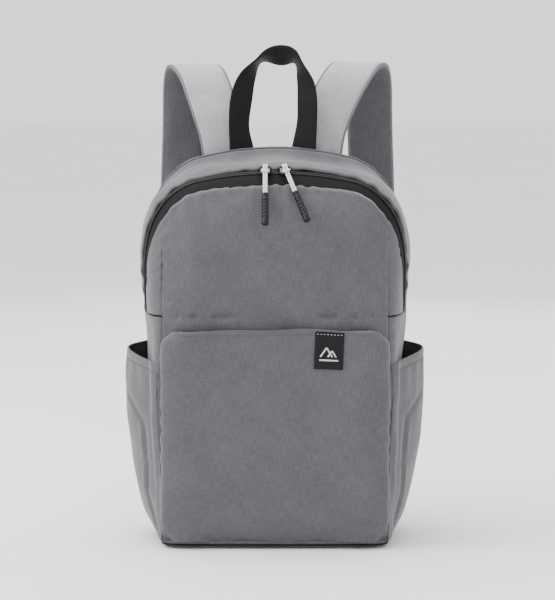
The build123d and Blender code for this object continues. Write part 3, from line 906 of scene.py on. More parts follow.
def pull(name, bar, side_lean):
    """A doubled cord hitched round the bail, with a moulded grip on its ends."""
    lean = radians(33)
    hang = np.array([sin(side_lean), -sin(lean) * cos(side_lean), -cos(lean) * cos(side_lean)])
    right = unit(X - hang * hang[0])
    out = np.cross(right, hang) * -1
    if out[1] > 0:
        out = -out

    def at(x, h, q):
        return bar + (right * x + hang * h + out * q) * MM

    # in millimetres, up one side and over the bar, round the front of both strands and down again
    half = [
        (1.15, 31, -0.1), (1.15, 18, 0), (1.2, 7, 0.4), (1.25, 2.5, 1.6), (1.3, -0.8, 1.7), (1.3, -2.0, 0),
        (1.3, -0.6, -1.8), (1.6, 2.0, -1.9), (2.9, 4.2, -0.7), (2.9, 5.2, 1.2),
    ]
    hitch = [(-x, h, q) for x, h, q in half] + [(0, 5.6, 2.6)] + half[::-1]
    cord = tube(f"pull_loop_{name}", spline([at(*p) for p in hitch], 150), 0.00108, CORD, 10)
    place(cord, f"pull_{name}", "cord", f"pull_cord_{name}")
    # moulded grip: a smooth collar, a knobbly middle and a smooth rounded end
    rows, cols = 96, 24
    verts = []
    rounded_part, bumps = 0.045, 62
    for i in range(rows):
        t = i / (rows - 1)
        h = CORD_LONG * 1000 + t * GRIP_LONG * 1000
        end = min(1, min(t, 1 - t) / rounded_part)
        round_off = math.sqrt(max(0.0, 1 - (1 - end) ** 2))
        knobs = smooth_step(t, 0.14, 0.17) * (1 - smooth_step(t, 0.74, 0.78))
        collar = -0.3 * bump_at(t, 0.13, 0.015) - 0.3 * bump_at(t, 0.78, 0.015)
        for j in range(cols):
            a = 2 * pi * j / cols
            pattern = sin(t * bumps) * sin(a * 4 + (pi / 4 if int(t * bumps / pi) % 2 else 0))
            radius = GRIP_RADIUS * 1000 - 0.25 + 0.35 * t + collar + knobs * 0.5 * pattern
            radius *= max(0.05, round_off)
            verts.append(at(cos(a) * radius, h, sin(a) * radius * 0.86))
    faces = grid_faces(rows, cols, True) + end_caps(rows, cols)
    grip = finish_mesh(f"pull_handle_{name}", verts, faces, None, RUBBER)
    fix_normals(grip)
    place(grip, f"pull_{name}", "grip", f"pull_grip_{name}")


zip_parts()
sliders()

# ---------------------------------------------------------------- front pocket and label
POCKET_TOP, POCKET_FACE, POCKET_HALF, POCKET_CORNER = 0.216, -0.077, 0.112, 0.020


def front_pocket():
    """The pocket's cloth, round over its edges and turned under at its stitched top hem."""
    rows, cols = 130, 131
    grid = np.zeros((rows, cols, 3))
    for i in range(rows):
        t = i / (rows - 1)
        z = BASE_Z + (POCKET_TOP - BASE_Z) * t
        over = max(0.0, z - (POCKET_TOP - POCKET_CORNER))
        half = POCKET_HALF - (POCKET_CORNER - math.sqrt(max(0, POCKET_CORNER**2 - over**2)))
        half = min(half, POCKET_HALF)
        low = 1 - smooth_step(z, BASE_Z - 0.004, 0.034)
        half -= 0.004 * low**2
        face = POCKET_FACE + 0.0085 * low**2 + 0.001
        crown = 0.0022 * sin(pi * min(1, t * 1.15)) ** 0.6 if t < 1 else 0.0012
        seam_y = -0.0602
        right = [
            (half * 0.55, face - crown * 0.8, z), (half - 0.0085, face + 0.0002, z),
            (half - 0.0022, face + 0.0040, z), (half + 0.0002, seam_y - 0.006, z), (half - 0.0006, seam_y, z),
        ]
        left = [(-x, y, z) for x, y, z in right[::-1]]
        grid[i] = spline(left + [(0, face - crown, z)] + right, cols)
    out = normals(grid, -Y)
    a, b = grid[..., 0], grid[..., 2]
    from_side = POCKET_HALF - np.abs(a)
    relief = folds(a, b, 7.0) * 1.5
    relief += pucker(b, from_side, 0.017, 0.0007, 0.012, 0.7)
    relief += pucker(a, b - BASE_Z, 0.016, 0.0008, 0.012, 2.7)
    fold_line = POCKET_TOP - 0.0042
    relief -= 0.0005 * bump_at(b, fold_line, 0.0009)
    relief += 0.0004 * smooth_step(b, fold_line - 0.001, fold_line + 0.001)
    roll = 0.0010 * (1 - smooth_step(POCKET_TOP - b, 0, 0.0016))
    grid = grid + out * (relief - roll)[..., None]
    sway = 0.0006 * np.sin(41 * a + 0.6) + 0.0004 * np.sin(93 * a)
    grid[..., 2] += sway * smooth_step(b, POCKET_TOP - 0.02, POCKET_TOP)
    obj = cloth("front_pocket_cloth", grid, -Y, 0.0015, SHELL, LINING)
    place(obj, "pack", "shell_fabric", "front_pocket", "front_pocket_hem")
    row = int(round((fold_line - BASE_Z) / (POCKET_TOP - BASE_Z) * (rows - 1)))
    line = resample(grid[row, 12:-12], 300)
    seam = stitches("pocket_hem_stitch", line, out[row, cols // 2], DARK_THREAD, lift=0.0)
    place(seam, "pack", "shell_fabric")
    return obj


pocket_cloth = front_pocket()


def surface_of(obj):
    """Search tree of a finished piece's surface."""
    points = [v.co.copy() for v in obj.data.vertices]
    return BVHTree.FromPolygons(points, [list(polygon.vertices) for polygon in obj.data.polygons])


def label():
    """Woven patch over the pocket's hem, with a plain two-peak mark."""
    ground = surface_of(pocket_cloth)
    turn = radians(-2.2)
    centre = np.array([0.0525, 0.1965])

    def at(u, v, lift):
        x = centre[0] + u * cos(turn) - v * sin(turn)
        z = centre[1] + u * sin(turn) + v * cos(turn)
        hit = ground.ray_cast(Vector((x, -0.2, min(z, POCKET_TOP - 0.0014))), Vector((0, 1, 0)))[0]
        y = hit[1] if hit else POCKET_FACE
        return np.array([x, y - lift, z])

    rows, cols = 30, 24
    half_u, half_v = 0.0140, 0.0182
    grid = np.zeros((rows, cols, 3))
    for i in range(rows):
        for j in range(cols):
            u, v = half_u * (2 * j / (cols - 1) - 1), half_v * (2 * i / (rows - 1) - 1)
            corner = 0.0006 * (abs(u) / half_u) ** 6 + 0.0004 * (abs(v) / half_v) ** 8
            grid[i, j] = at(u, v, 0.0014 + 0.0002 * sin(u * 400) - corner * 0.5)
    patch = cloth("label_patch", grid, -Y, 0.0008, LABEL)
    place(patch, "pack", "label", "label_tag")
    line = [at(u, half_v - 0.0024, 0.0015) for u in np.linspace(-half_u + 0.001, half_u - 0.001, 40)]
    place(stitches("label_stitch", line, -Y, EMBLEM, 0.0030, 0.0019, 0.00034), "pack", "label")
    # the mark: two peaks on a line
    foot, ground_line, steep = -0.0062, -0.0094, 1.55
    strokes = []
    for peak, size in ((-0.0024, 0.0058), (0.0030, 0.0040)):
        for hand in (-1, 1):
            strokes.append(((peak + hand * size, foot), (peak, foot + size * steep)))
    strokes.append(((-0.0092, ground_line), (0.0092, ground_line)))
    verts, faces = [], []
    for (u0, v0), (u1, v1) in strokes:
        d = unit(np.array([u1 - u0, v1 - v0]))
        s = np.array([-d[1], d[0]]) * 0.00085
        start = len(verts)
        for k in range(9):
            u, v = u0 + (u1 - u0) * k / 8, v0 + (v1 - v0) * k / 8
            for side, lift in ((-1, 0.0013), (-0.7, 0.00172), (0.7, 0.00172), (1, 0.0013)):
                verts.append(at(u + s[0] * side, v + s[1] * side, lift))
        faces += grid_faces(9, 4, True, start=start)
        faces += [tuple(start + i for i in (3, 2, 1, 0)), tuple(start + 32 + i for i in range(4))]
    mark = finish_mesh("label_mark", verts, faces, None, EMBLEM)
    fix_normals(mark)
    place(mark, "pack", "label")


LABEL = ribbed("Label weave", (0.002, 0.002, 0.0024), (0.009, 0.009, 0.010), 0.0008, 0.7)
label()

# ---------------------------------------------------------------- side pockets
# at some heights: how far out the pocket's middle and its rear edge lie
SIDE_SHAPE = [
    (0.1200, 0.1145, 0.007), (0.1295, 0.1175, 0.022), (0.1355, 0.1195, 0.040), (0.1405, 0.1220, 0.066),
    (0.1455, 0.1245, 0.104), (0.1482, 0.1268, 0.138), (0.1462, 0.1275, 0.190), (0.1455, 0.1280, 0.212),
]
SIDE_FRONT, SIDE_FRONT_Y, SIDE_REAR_Y = 0.1112, -0.0662, 0.0465
MOUTH, MOUTH_SLOPE = 0.1885, math.tan(radians(6))
# valleys in the pocket's cloth: from (y, z) to (y, z), width and depth
SIDE_CREASES = (
    ((-0.006, 0.146), (-0.038, 0.122), 0.0034, 0.0020), ((-0.038, 0.124), (-0.042, 0.078), 0.0034, 0.0022),
    ((-0.060, 0.081), (-0.030, 0.079), 0.0020, 0.0014), ((-0.042, 0.080), (-0.038, 0.050), 0.0034, 0.0020),
    ((-0.038, 0.052), (-0.048, 0.014), 0.0042, 0.0020), ((0.010, 0.150), (0.034, 0.118), 0.0070, 0.0018),
    ((0.020, 0.090), (0.036, 0.040), 0.0070, 0.0022),
)


def side_pockets():
    """Bulging pocket on each side, its mouth sloping down to the front."""
    level_line = spline(SIDE_SHAPE, 200)
    hem = 0.0085
    for name, hand in HANDS:
        rows, cols = 100, 80
        grid = np.zeros((rows, cols, 3))
        for i in range(rows):
            t = i / (rows - 1)
            z = BASE_Z + (MOUTH - BASE_Z) * t
            middle, rear = read_off(z, level_line[:, 2], level_line)[:2] - (0.0012, 0.0006)
            front = SIDE_FRONT
            bow = middle - (front + rear) / 2
            section = [
                (front + 0.0008, SIDE_FRONT_Y), (front + bow * 0.50, -0.046), (front + bow * 0.90, -0.028),
                (middle, -0.006), (rear + bow * 0.82, 0.020), (rear + bow * 0.30, 0.038),
                (rear - 0.001, SIDE_REAR_Y),
            ]
            line = spline([(hand * x, y, z) for x, y in section], cols)
            line[:, 2] += t * line[:, 1] * MOUTH_SLOPE * smooth_step(t, 0.3, 1.0)
            for point in line[:-1]:
                wall = side_at(hand, point[1], min(point[2], SIDE_TOP))
                if wall is not None:
                    clear = 0.0014 + 0.0022 * smooth_step(point[1], SIDE_FRONT_Y, -0.056)
                    point[0] = hand * max(abs(point[0]), abs(wall[0]) + clear)
            grid[i] = line
        out = normals(grid, X * hand)
        b, c = grid[..., 2], grid[..., 1]
        p = np.stack([c, b], axis=-1)
        from_mouth = np.linalg.norm(grid - grid[-1][None], axis=2)
        relief = folds(c, b, 9.0 + hand) * 1.3
        wave = np.sin(c * 2 * pi / 0.023 + 0.8 * np.sin(c * 45 + hand))
        relief += 0.0007 * wave * np.exp(-from_mouth / 0.026) * smooth_step(from_mouth, 0.004, 0.014)
        relief += pucker(b, c + 0.066, 0.009, 0.0004, 0.006, 1 + hand)
        relief += pucker(c, b - BASE_Z, 0.017, 0.0009, 0.014, hand)
        # the bend of the first two creases sits a little higher on the right pocket
        shift = np.array([0, 0.004 * (hand > 0)])
        for number, (start, end, width, depth) in enumerate(SIDE_CREASES):
            start, end = start + shift * (number == 1), end + shift * (number == 0)
            relief += crease(p, start, end, width, depth)
            # the cloth stands a little proud on the outer side of each fold
            proud = np.array([0.0062, 0.001])
            relief -= 0.35 * crease(p, start + proud, end + proud, width * 1.1, depth)
        relief -= 0.0006 * bump_at(from_mouth, hem, 0.0010)
        relief -= 0.0008 * (1 - smooth_step(from_mouth, 0, 0.0015))
        hold = smooth_step(c + 0.066, 0, 0.008) * smooth_step(SIDE_REAR_Y - c, 0, 0.006)
        grid = grid + out * (relief * hold)[..., None]
        obj = cloth(f"side_pocket_cloth_{name}", grid, X * hand, 0.0015, SHELL, LINING)
        place(obj, "pack", "shell_fabric", f"side_pocket_{name}", f"side_pocket_hem_{name}")
        columns = np.arange(2, cols - 2)
        along_hem = np.abs(from_mouth[:, columns] - hem).argmin(axis=0), columns
        seam = f"side_pocket_stitch_{name}"
        seam = stitches(seam, grid[along_hem], out[along_hem], DARK_THREAD, lift=0.0002)
        place(seam, "pack", "shell_fabric")


side_pockets()


# ---------------------------------------------------------------- base
def base():
    """Rounded base with a rolled seam all round, and the flat underside that the bag stands on."""
    level = 0.0055
    front = [front_at(x, level) for x in np.linspace(-0.094, 0.094, 60)]
    ys = np.linspace(-0.0645, BACK_Y - 0.001, 50)
    right = [side_at(1, y, level) for y in ys]
    left = [side_at(-1, y, level) for y in ys[::-1]]
    back = [np.array([x, BACK_Y, level]) for x in np.linspace(right[-1][0], -right[-1][0], 40)[1:-1]]
    ring = resample(np.array(front + right + back + left + [front[0]]), 281)[:-1]
    ring[:, 2] = 0
    ring = smooth_ring(ring, 3)
    hub = np.array([0, -0.006, 0])
    away = unit(ring - hub)
    # outwards and up from the ring: over the rolled seam and round to the underside
    levels = [
        (0.0010, 0.0085), (0.0022, 0.0072), (0.0026, 0.0058), (0.0018, 0.0046), (0.0004, 0.0040),
        (-0.0006, 0.0030), (-0.0030, 0.0010), (-0.0070, 0.0001), (-0.0200, 0.0),
    ]
    rows = [ring + away * push + Z * height for push, height in levels]
    for shrink in (0.7, 0.4, 0.1):
        rows.append(hub + (rows[8] - hub) * shrink)
    grid = np.array(rows)
    uv = grid[..., :2]
    n = len(ring)
    faces = grid_faces(len(rows), n, True)
    faces.append(tuple((len(rows) - 1) * n + i for i in range(n)))
    inner = [
        hub + (rows[3] - hub) * np.array([0.985, 0.975, 1]) + Z * 0.0015,
        hub + (rows[3] - hub) * 0.9 * np.array([1, 1, 0]) + Z * 0.0024,
    ]
    start = len(rows) * n
    verts = np.concatenate([grid.reshape(-1, 3), *inner])
    uv = np.concatenate([uv.reshape(-1, 2), inner[0][:, :2], inner[1][:, :2]])
    faces += inner_faces(n, start)
    faces.append(tuple(start + n + i for i in range(n)))
    obj = finish_mesh("base_cloth", verts, faces, uv, BASE_CLOTH)
    fix_normals(obj)
    place(obj, "pack", "shell_fabric", "base_panel")
    # a near-black welt cord just under the rolled seam: painted shadow, the dark line where the roll turns
    # under to the floor
    welt = ring + away * 0.0012 + Z * 0.0034
    place(tube("base_welt_shadow_line", np.roll(welt, 30, 0), 0.0011, SHADOW_WELT, 8, closed=True), "pack", "shell_fabric")


BASE_CLOTH = fabric("Base cloth", *GREY)
# near-black: painted shadow below the base's rolled seam
SHADOW_WELT = ribbed("Base welt painted shadow", (0.003, 0.003, 0.0035), (0.011, 0.011, 0.012), 0.0013, 0.75)
base()


# ---------------------------------------------------------------- padded back
BACK_FACE = 0.0641


def back_panel():
    """The back's cloth: a ring read off its solid, rolled over at the seam and closed on a spine."""
    slab = tree("back_panel")
    hub, middle_y = Z * 0.19, 0.0545
    found = []
    for angle in np.radians(np.arange(0, 360, 0.75)):
        way = X * sin(angle) + Z * cos(angle)
        found.append(np.array(slab.ray_cast(Vector(hub + Y * middle_y + way * 0.5), Vector(-way))[0]))
    ring = np.array(found) * (X + Z)
    ring = smooth_ring(resample(np.concatenate([ring, ring[:1]]), 321)[:-1], 4)
    away = unit(ring - hub)
    run = lengths_along(ring)
    wave = 0.0006 * np.sin(run * 130) + 0.0005 * np.sin(run * 71 + 1)
    # outwards from the ring and back: round the roll from the inside to the padded face
    levels = [
        (-0.0052, 0.0492), (-0.0016, 0.0508), (-0.0002, 0.0526), (0.0008, 0.0545), (0.0010, 0.0575),
        (0.0000, 0.0605), (-0.0024, 0.0628), (-0.0060, 0.0638), (-0.0110, BACK_FACE),
    ]
    rows = []
    for push, y in levels:
        row = ring + away * (push + wave[:, None] * (0.6 if push > -0.001 else 0))
        row[:, 1] = y
        rows.append(row)
    inner = rows[-1]
    spine = np.clip(inner[:, 2], 0.08, 0.30)
    for t in (0.12, 0.3, 0.5, 0.7, 0.88, 1.0):
        target = np.stack([inner[:, 0] * 0, inner[:, 1], spine], axis=1)
        rows.append(inner + (target - inner) * t)
    grid = np.array(rows)
    n = len(ring)
    verts = grid.reshape(-1, 3)
    faces = grid_faces(len(rows), n, True)
    middle = np.stack([rows[0][:, 0] * 0, rows[0][:, 1], spine], axis=1)
    front = [rows[0] + (middle - rows[0]) * t + Y * 0.0026 for t in (0.03, 1.0)]
    faces += inner_faces(n, len(verts))
    verts = np.concatenate([verts, *front])
    obj = finish_mesh("back_cloth", verts, faces, verts[:, [0, 2]], SHELL)
    obj.data.materials.append(LINING)
    for polygon in obj.data.polygons:
        if max(obj.data.vertices[v].co.y for v in polygon.vertices) < BACK_Y + 0.0001:
            polygon.material_index = 1
    merge(obj)
    fix_normals(obj)
    place(obj, "pack", "shell_fabric", "back_panel")
    paint("back_foam", FOAM)
    paint("back_board", PLASTIC)
    # piping between the back and the sides, in the paler binding grey: painted light that hides the shade in
    # the seam's gap
    line = ring - away * 0.0014
    line[:, 1] = 0.0631
    place(tube("back_piping", line, 0.0013, LIT_BINDING, 8, closed=True), "pack", "shell_fabric")


def merge(obj):
    """Joins points of a piece that lie on each other."""
    b = bmesh.new()
    b.from_mesh(obj.data)
    bmesh.ops.remove_doubles(b, verts=b.verts, dist=0.00005)
    b.to_mesh(obj.data)
    b.free()
    obj.data.polygons.foreach_set("use_smooth", [True] * len(obj.data.polygons))


def inflate(obj, held):
    """Swells a padded piece with Blender's cloth, held at its seams, each point moving no more than cap."""
    pressure, cap, frames = 3.0, 0.0022, 14
    before = np.array([v.co[:] for v in obj.data.vertices])
    pins = obj.vertex_groups.new(name="Seams")
    for index, weight in enumerate(held):
        if weight > 0:
            pins.add([index], float(weight), "REPLACE")
    cloth_modifier = obj.modifiers.new("Cloth", "CLOTH")
    settings = cloth_modifier.settings
    settings.quality = 5
    settings.mass = 0.25
    settings.tension_stiffness = settings.compression_stiffness = 18
    settings.shear_stiffness = 8
    settings.bending_stiffness = 0.6
    settings.use_pressure = True
    settings.uniform_pressure_force = pressure
    settings.vertex_group_mass = "Seams"
    settings.effector_weights.gravity = 0
    cloth_modifier.collision_settings.use_collision = False
    cloth_modifier.point_cache.frame_start, cloth_modifier.point_cache.frame_end = 1, frames
    for step in range(1, frames + 1):
        bpy.context.scene.frame_set(step)
    shaped = obj.evaluated_get(bpy.context.evaluated_depsgraph_get()).data
    after = np.array([v.co[:] for v in shaped.vertices])
    obj.modifiers.remove(cloth_modifier)
    bpy.context.scene.frame_set(1)
    move = after - before
    size = np.linalg.norm(move, axis=1, keepdims=True)
    move *= np.minimum(1, cap / np.maximum(size, 1e-9))
    move[~np.isfinite(move).all(1)] = 0
    obj.data.vertices.foreach_set("co", (before + move * (1 - np.asarray(held)[:, None])).ravel())
    obj.data.update()


def pillow(name, outline, height, shoulder, channels):
    """Padded panel sewn to the back: crowned, pinched at its edge, with sewn channels pressed in."""
    ring = resample(np.array([(x, 0, z) for x, z in outline + outline[:1]]), 181)[:-1][:, [0, 2]]
    ring = smooth_ring(ring, 5)
    # rings that close on a spine along the panel's longer way keep the outline true
    n = len(ring)
    low, high = ring.min(0), ring.max(0)
    wide = min(high - low) / 2
    spine = np.clip(ring, low + wide, high - wide)
    short = int(np.argmin(high - low))
    spine[:, short] = (low[short] + high[short]) / 2
    rows = []
    depths = np.concatenate([[0], np.linspace(0.02, 1, 30) ** 1.15])
    for t in depths:
        flat = ring + (spine - ring) * t
        distance = np.linalg.norm(flat - ring, axis=1)
        rise = height * (1 - np.exp(-distance / shoulder))
        x, z = flat.T
        rise *= 1 + 0.08 * np.sin(x * 80 + z * 31) + 0.07 * np.sin(z * 67 - x * 44)
        for start, end in channels:
            rise *= 1 - 0.80 * np.exp(-((from_segment(flat, start, end)[0] / 0.0042) ** 2))
        rows.append(np.stack([x, BACK_FACE + 0.0009 + rise, z], axis=1))
    foot = rows[0].copy()
    foot[:, 1] = BACK_FACE - 0.0012
    rows.insert(0, foot)
    verts = np.array(rows).reshape(-1, 3)
    faces = grid_faces(len(rows), n, True) + [tuple(range(n))]
    obj = finish_mesh(name, verts, faces, verts[:, [0, 2]], MESH)
    merge(obj)
    fix_normals(obj)
    points = np.array([v.co[:] for v in obj.data.vertices])
    flat = points[:, [0, 2]]
    from_edge = np.min([np.hypot(*(flat - corner).T) for corner in ring], axis=0)
    held = np.exp(-((from_edge / 0.0030) ** 2))
    for start, end in channels:
        held = np.maximum(held, np.exp(-((from_segment(flat, start, end)[0] / 0.0034) ** 2)))
    held[points[:, 1] < BACK_FACE + 0.0008] = 1
    inflate(obj, np.where(held > 0.6, 1, held))
    place(obj, "pack", "mesh")
    line = np.stack([ring[:, 0], np.full(n, BACK_FACE + 0.0006), ring[:, 1]], axis=1)
    place(tube(name + "_edge", line, 0.0011, GROSGRAIN, 6, closed=True), "pack", "mesh")


def rounded(x0, x1, z0, z1):
    """Outline of a rectangle with round corners."""
    r, count = 0.018, 8
    points = []
    centres = (x1 - r, z1 - r), (x0 + r, z1 - r), (x0 + r, z0 + r), (x1 - r, z0 + r)
    for corner, (x, z) in enumerate(centres):
        for k in range(count + 1):
            a = radians(90 * corner + 90 * k / count)
            points.append((x + r * cos(a), z + r * sin(a)))
    return points


def back_pads():
    """Two tall pads and one across the small of the back, each with two sewn channels."""
    for name, hand in HANDS:
        x0, x1 = sorted((hand * 0.010, hand * 0.088))
        channels = [((x0 - 0.01, z), (x1 + 0.01, z)) for z in (0.182, 0.252)]
        pillow(f"back_pad_{name}", rounded(x0, x1, 0.112, 0.322), 0.0062, 0.009, channels)
    channels = [((x, 0.02), (x, 0.12)) for x in (-0.030, 0.030)]
    pillow("lumbar_pad", rounded(-0.088, 0.088, 0.036, 0.098), 0.0072, 0.010, channels)


back_panel()
back_pads()


# ---------------------------------------------------------------- straps, yoke, webbing and buckles
STRAP_PATH = np.array([
    (44, 69.6, 375), (47, 71, 398), (60, 80, 435), (86, 112, 471), (96, 138, 466),
    (100, 153, 420), (102, 157, 360), (104, 152, 295), (107, 143, 245), (110, 131, 205),
]) * MM
STRAP_HALF = 0.0235


def mirrored(points, hand):
    """Points of the right side, carried over to the given side."""
    return np.asarray(points, float) * np.array([hand, 1, 1])


def strap(name, hand):
    """Padded strap with bound edges and two rows of stitches; returns its line and its three directions."""
    count = 170
    path = mirrored(spline(STRAP_PATH, count), hand)
    run = lengths_along(path)
    if hand < 0:
        # the left strap starts wider and then hangs closer in than the right one
        closer = 0.0050 * smooth_step(run, 0.07, 0.14) * (1 - smooth_step(run, 0.26, 0.40))
        path[:, 0] += closer - 0.0060 * (1 - smooth_step(run, 0.04, 0.11))
        path[:, 2] -= 0.0025 * bump_at(run, 0.115, 0.03)
    along = unit(np.gradient(path, axis=0))
    across = unit(X - along * along[:, :1])
    out = np.cross(across, along)
    tip = np.clip((run[-1] - run) / 0.030, 0, 1)
    half = STRAP_HALF * (0.62 + 0.38 * np.sqrt(1 - (1 - tip) ** 2)) - 0.0016
    m = 27
    u, s = np.linspace(-1, 1, m), run[:, None]
    pinch = 1 - abs(u) ** 5
    outer = 0.0016 + 0.0016 * pinch + 0.00035 * np.sin(s * 170 + u * 3) * pinch
    outer = outer + 0.0004 * np.sin(s * 73 + hand) * (1 - u * u)
    inner = -0.0018 - 0.0026 * pinch + 0.0004 * np.sin(s * 95 + u * 2 + hand) * pinch
    flat = path[:, None] + across[:, None] * (u * half[:, None])[..., None]
    face, underside = (flat + out[:, None] * level[..., None] for level in (outer, inner))
    grid = np.concatenate([face, underside[:, ::-1]], axis=1)
    uv = np.zeros((count, 2 * m, 2))
    uv[..., 1] = run[:, None]
    uv[:, :m, 0] = u * half[:, None]
    uv[:, m:, 0] = -u * half[:, None]
    faces = grid_faces(count, 2 * m, True) + end_caps(count, 2 * m)
    # the strap's face takes the paler copy of the grey: painted highlight
    obj = finish_mesh(f"strap_body_{name}", grid.reshape(-1, 3), faces, uv.reshape(-1, 2), LIT_STRAP_FABRIC)
    obj.data.materials.append(UNDERSIDE)
    for index in range((count - 1) * 2 * m):
        obj.data.polygons[index].material_index = int(index % (2 * m) >= m)
    fix_normals(obj)
    place(obj, f"strap_{name}", "shell_fabric", f"shoulder_strap_{name}", f"strap_mesh_{name}")
    wrap = [
        (-0.0014, 0.0018), (0.0006, 0.0019), (0.0015, 0.0011), (0.0017, 0),
        (0.0015, -0.0013), (0.0006, -0.0021), (-0.0014, -0.0020), (-0.0016, 0),
    ]
    for side in (-1, 1):
        where = f"{name}_{'outer' if side * hand > 0 else 'inner'}"
        edge = path + across * (side * (half + 0.0004))[:, None] + out * -0.0002
        profile = [(a, o * side) for a, o in wrap]
        # the binding is the paler grey: painted highlight along the strap's edges
        piece = band(f"strap_binding_{where}", edge, np.repeat(X[None] * side, count, 0), profile, LIT_BINDING)
        place(piece, f"strap_{name}", "shell_fabric")
        line = path + across * (side * (half - 0.0030))[:, None] + out * 0.0022
        seam = stitches(f"strap_stitch_{where}", line[:-4], out[:-4], THREAD, 0.0036, 0.0024)
        place(seam, f"strap_{name}", "shell_fabric")
    return path, along, across, out


def webbings(name, hand, path, along, across, out):
    """Below a strap: the loop that holds the ladder lock, its free tail and the lower webbing to the bag."""
    end, down, wide, outward = path[-1], along[-1], across[-1], out[-1]
    loop_end = end + down * 0.014
    lock_top = loop_end + down * 0.001
    web = flat_profile(0.020, 0.0016)

    def woven(piece, line, profile=web):
        return band(piece, line, np.repeat(wide[None], len(line), 0), profile, WEBBING)

    loop = spline([
        end - down * 0.024 + outward * 0.0044, end - down * 0.004 + outward * 0.0046,
        end + down * 0.004 + outward * 0.0026, loop_end + outward * 0.0001,
    ], 24)
    place(woven(f"buckle_web_{name}", loop), f"strap_{name}", "webbing", f"buckle_loop_{name}")
    width = np.linspace(-0.008, 0.008, 12)
    line = [end - down * 0.022 + outward * 0.0052 + wide * u for u in width]
    line += [end - down * 0.008 + outward * 0.0050 - wide * u for u in width] + [line[0]]
    seam = stitches(f"buckle_stitch_{name}", line, outward, DARK_THREAD, 0.0030, 0.0020, 0.0004, 0.0)
    place(seam, f"strap_{name}", "webbing")
    # the ladder lock keeps its solid, with its edges rounded
    paint(f"ladder_lock_{name}", PLASTIC)
    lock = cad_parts[f"ladder_lock_{name}"]
    bevel = lock.modifiers.new("Bevel", "BEVEL")
    bevel.width, bevel.segments, bevel.limit_method, bevel.angle_limit = 0.0008, 3, "ANGLE", radians(40)
    # tail that hangs free below the lock, folded and sewn at its end
    top = loop_end + down * 0.0156 + outward * 0.0034
    hang = spline([
        top, top + down * 0.008 + outward * 0.0008, top - Z * 0.026 + outward * 0.0008,
        top - Z * 0.050 + outward * 0.0002, top - Z * 0.070 - outward * 0.0008,
    ], 60)
    tail = f"webbing_tail_{name}"
    place(woven(f"{tail}_cloth", hang), f"buckle_{name}", "webbing", tail)
    fold = hang[-10:] + outward * 0.0016
    place(woven(f"{tail}_hem", fold, flat_profile(0.0202, 0.0015)), f"buckle_{name}", "webbing")
    line = [fold[2] + outward * 0.0008 + wide * u for u in np.linspace(-0.0085, 0.0085, 12)]
    seam = stitches(f"{tail}_stitch", line, outward, DARK_THREAD, 0.0028, 0.0019, 0.0004, 0)
    place(seam, f"buckle_{name}", "webbing")
    # lower webbing, from its sewn tab up through the lock
    foot = mirrored([0.101, 0.0676, 0.034], hand)
    lock_low = lock_top + down * 0.026
    reach = [
        foot - np.array([0, 0.0008, 0.012]), foot,
        foot + (lock_low - foot) * 0.35 + Y * 0.002, foot + (lock_low - foot) * 0.7 + Y * 0.002,
        lock_low + down * 0.002 - outward * 0.0012, lock_low - down * 0.007 - outward * 0.0026,
    ]
    lower = woven(f"adjust_web_{name}", spline(reach, 110))
    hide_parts(f"adjust_webbing_{name}")
    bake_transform(lower)


def tabs():
    """Sewn tabs at the bag's lower corners, which hold the lower webbings."""
    low_left, low_right, high_left, high_right = 0.0855, 0.1075, 0.0895, 0.1125
    for name, hand in HANDS:
        rows, cols = 14, 12
        grid = np.zeros((rows, cols, 3))
        for i in range(rows):
            for j in range(cols):
                u, v = j / (cols - 1), i / (rows - 1)
                low, high = low_left * (1 - u) + low_right * u, high_left * (1 - u) + high_right * u
                x, z = low * (1 - v) + high * v, 0.0065 * (1 - v) + 0.0345 * v
                pinch = min(u, 1 - u, v, 1 - v) * 4
                grid[i, j] = hand * x, 0.0660 + 0.0012 * min(1, pinch) ** 0.5 + 0.0030 * v, z
        obj = cloth(f"strap_tab_cloth_{name}", grid, Y, 0.0016, SHELL)
        place(obj, "pack", "shell_fabric", f"strap_tab_{name}")
        inset = [grid[2, 1], grid[2, -2], grid[-2, -2], grid[-2, 1], grid[2, 1]]
        seam = stitches(f"strap_tab_stitch_{name}", np.array(inset) + Y * 0.0003, Y, THREAD, 0.003, 0.002)
        place(seam, "pack", "shell_fabric")


def yoke():
    """Sewn piece across the back that covers the straps' upper ends."""
    half, low, high = 0.072, 0.337, 0.373
    rows, cols = 24, 70
    grid = np.zeros((rows, cols, 3))
    for i in range(rows):
        v = i / (rows - 1)
        z = low + (high - low) * v
        inset = 0.006 * (1 - math.sqrt(1 - (2 * v - 1) ** 8 * 0.98))
        for j in range(cols):
            u = 2 * j / (cols - 1) - 1
            x = u * (half - inset)
            pinch = min(1, min(1 - abs(u), 1 - abs(2 * v - 1)) * 9) ** 0.5
            grid[i, j] = x, 0.0643 + 0.0020 * pinch + 0.0003 * sin(x * 120), z
    place(cloth("yoke_cloth", grid, Y, 0.0014, SHELL), "pack", "shell_fabric", "strap_yoke")
    border = np.array([grid[2, 2], grid[2, -3], grid[-3, -3], grid[-3, 2], grid[2, 2]]) + Y * 0.0004
    line = np.concatenate([np.linspace(border[k], border[k + 1], 30) for k in range(4)])
    place(stitches("yoke_stitch", line, Y, THREAD, 0.0034, 0.0023), "pack", "shell_fabric")


for strap_name, strap_hand in HANDS:
    webbings(strap_name, strap_hand, *strap(strap_name, strap_hand))
tabs()
yoke()


# ---------------------------------------------------------------- haul loop
def through(points, count):
    """Smooth curve through points, each span given the same number of steps."""
    p = np.asarray(points, float)
    u = np.linspace(0, len(p) - 1, count)
    i = np.minimum(u.astype(int), len(p) - 2)
    f = (u - i)[:, None]
    pad = np.concatenate([2 * p[:1] - p[1:2], p, 2 * p[-1:] - p[-2:-1]])
    a, b, c, d = pad[i], pad[i + 1], pad[i + 2], pad[i + 3]
    return 0.5 * (2 * b + (c - a) * f + (2 * a - 5 * b + 4 * c - d) * f**2 + (3 * b - a - 3 * c + d) * f**3)


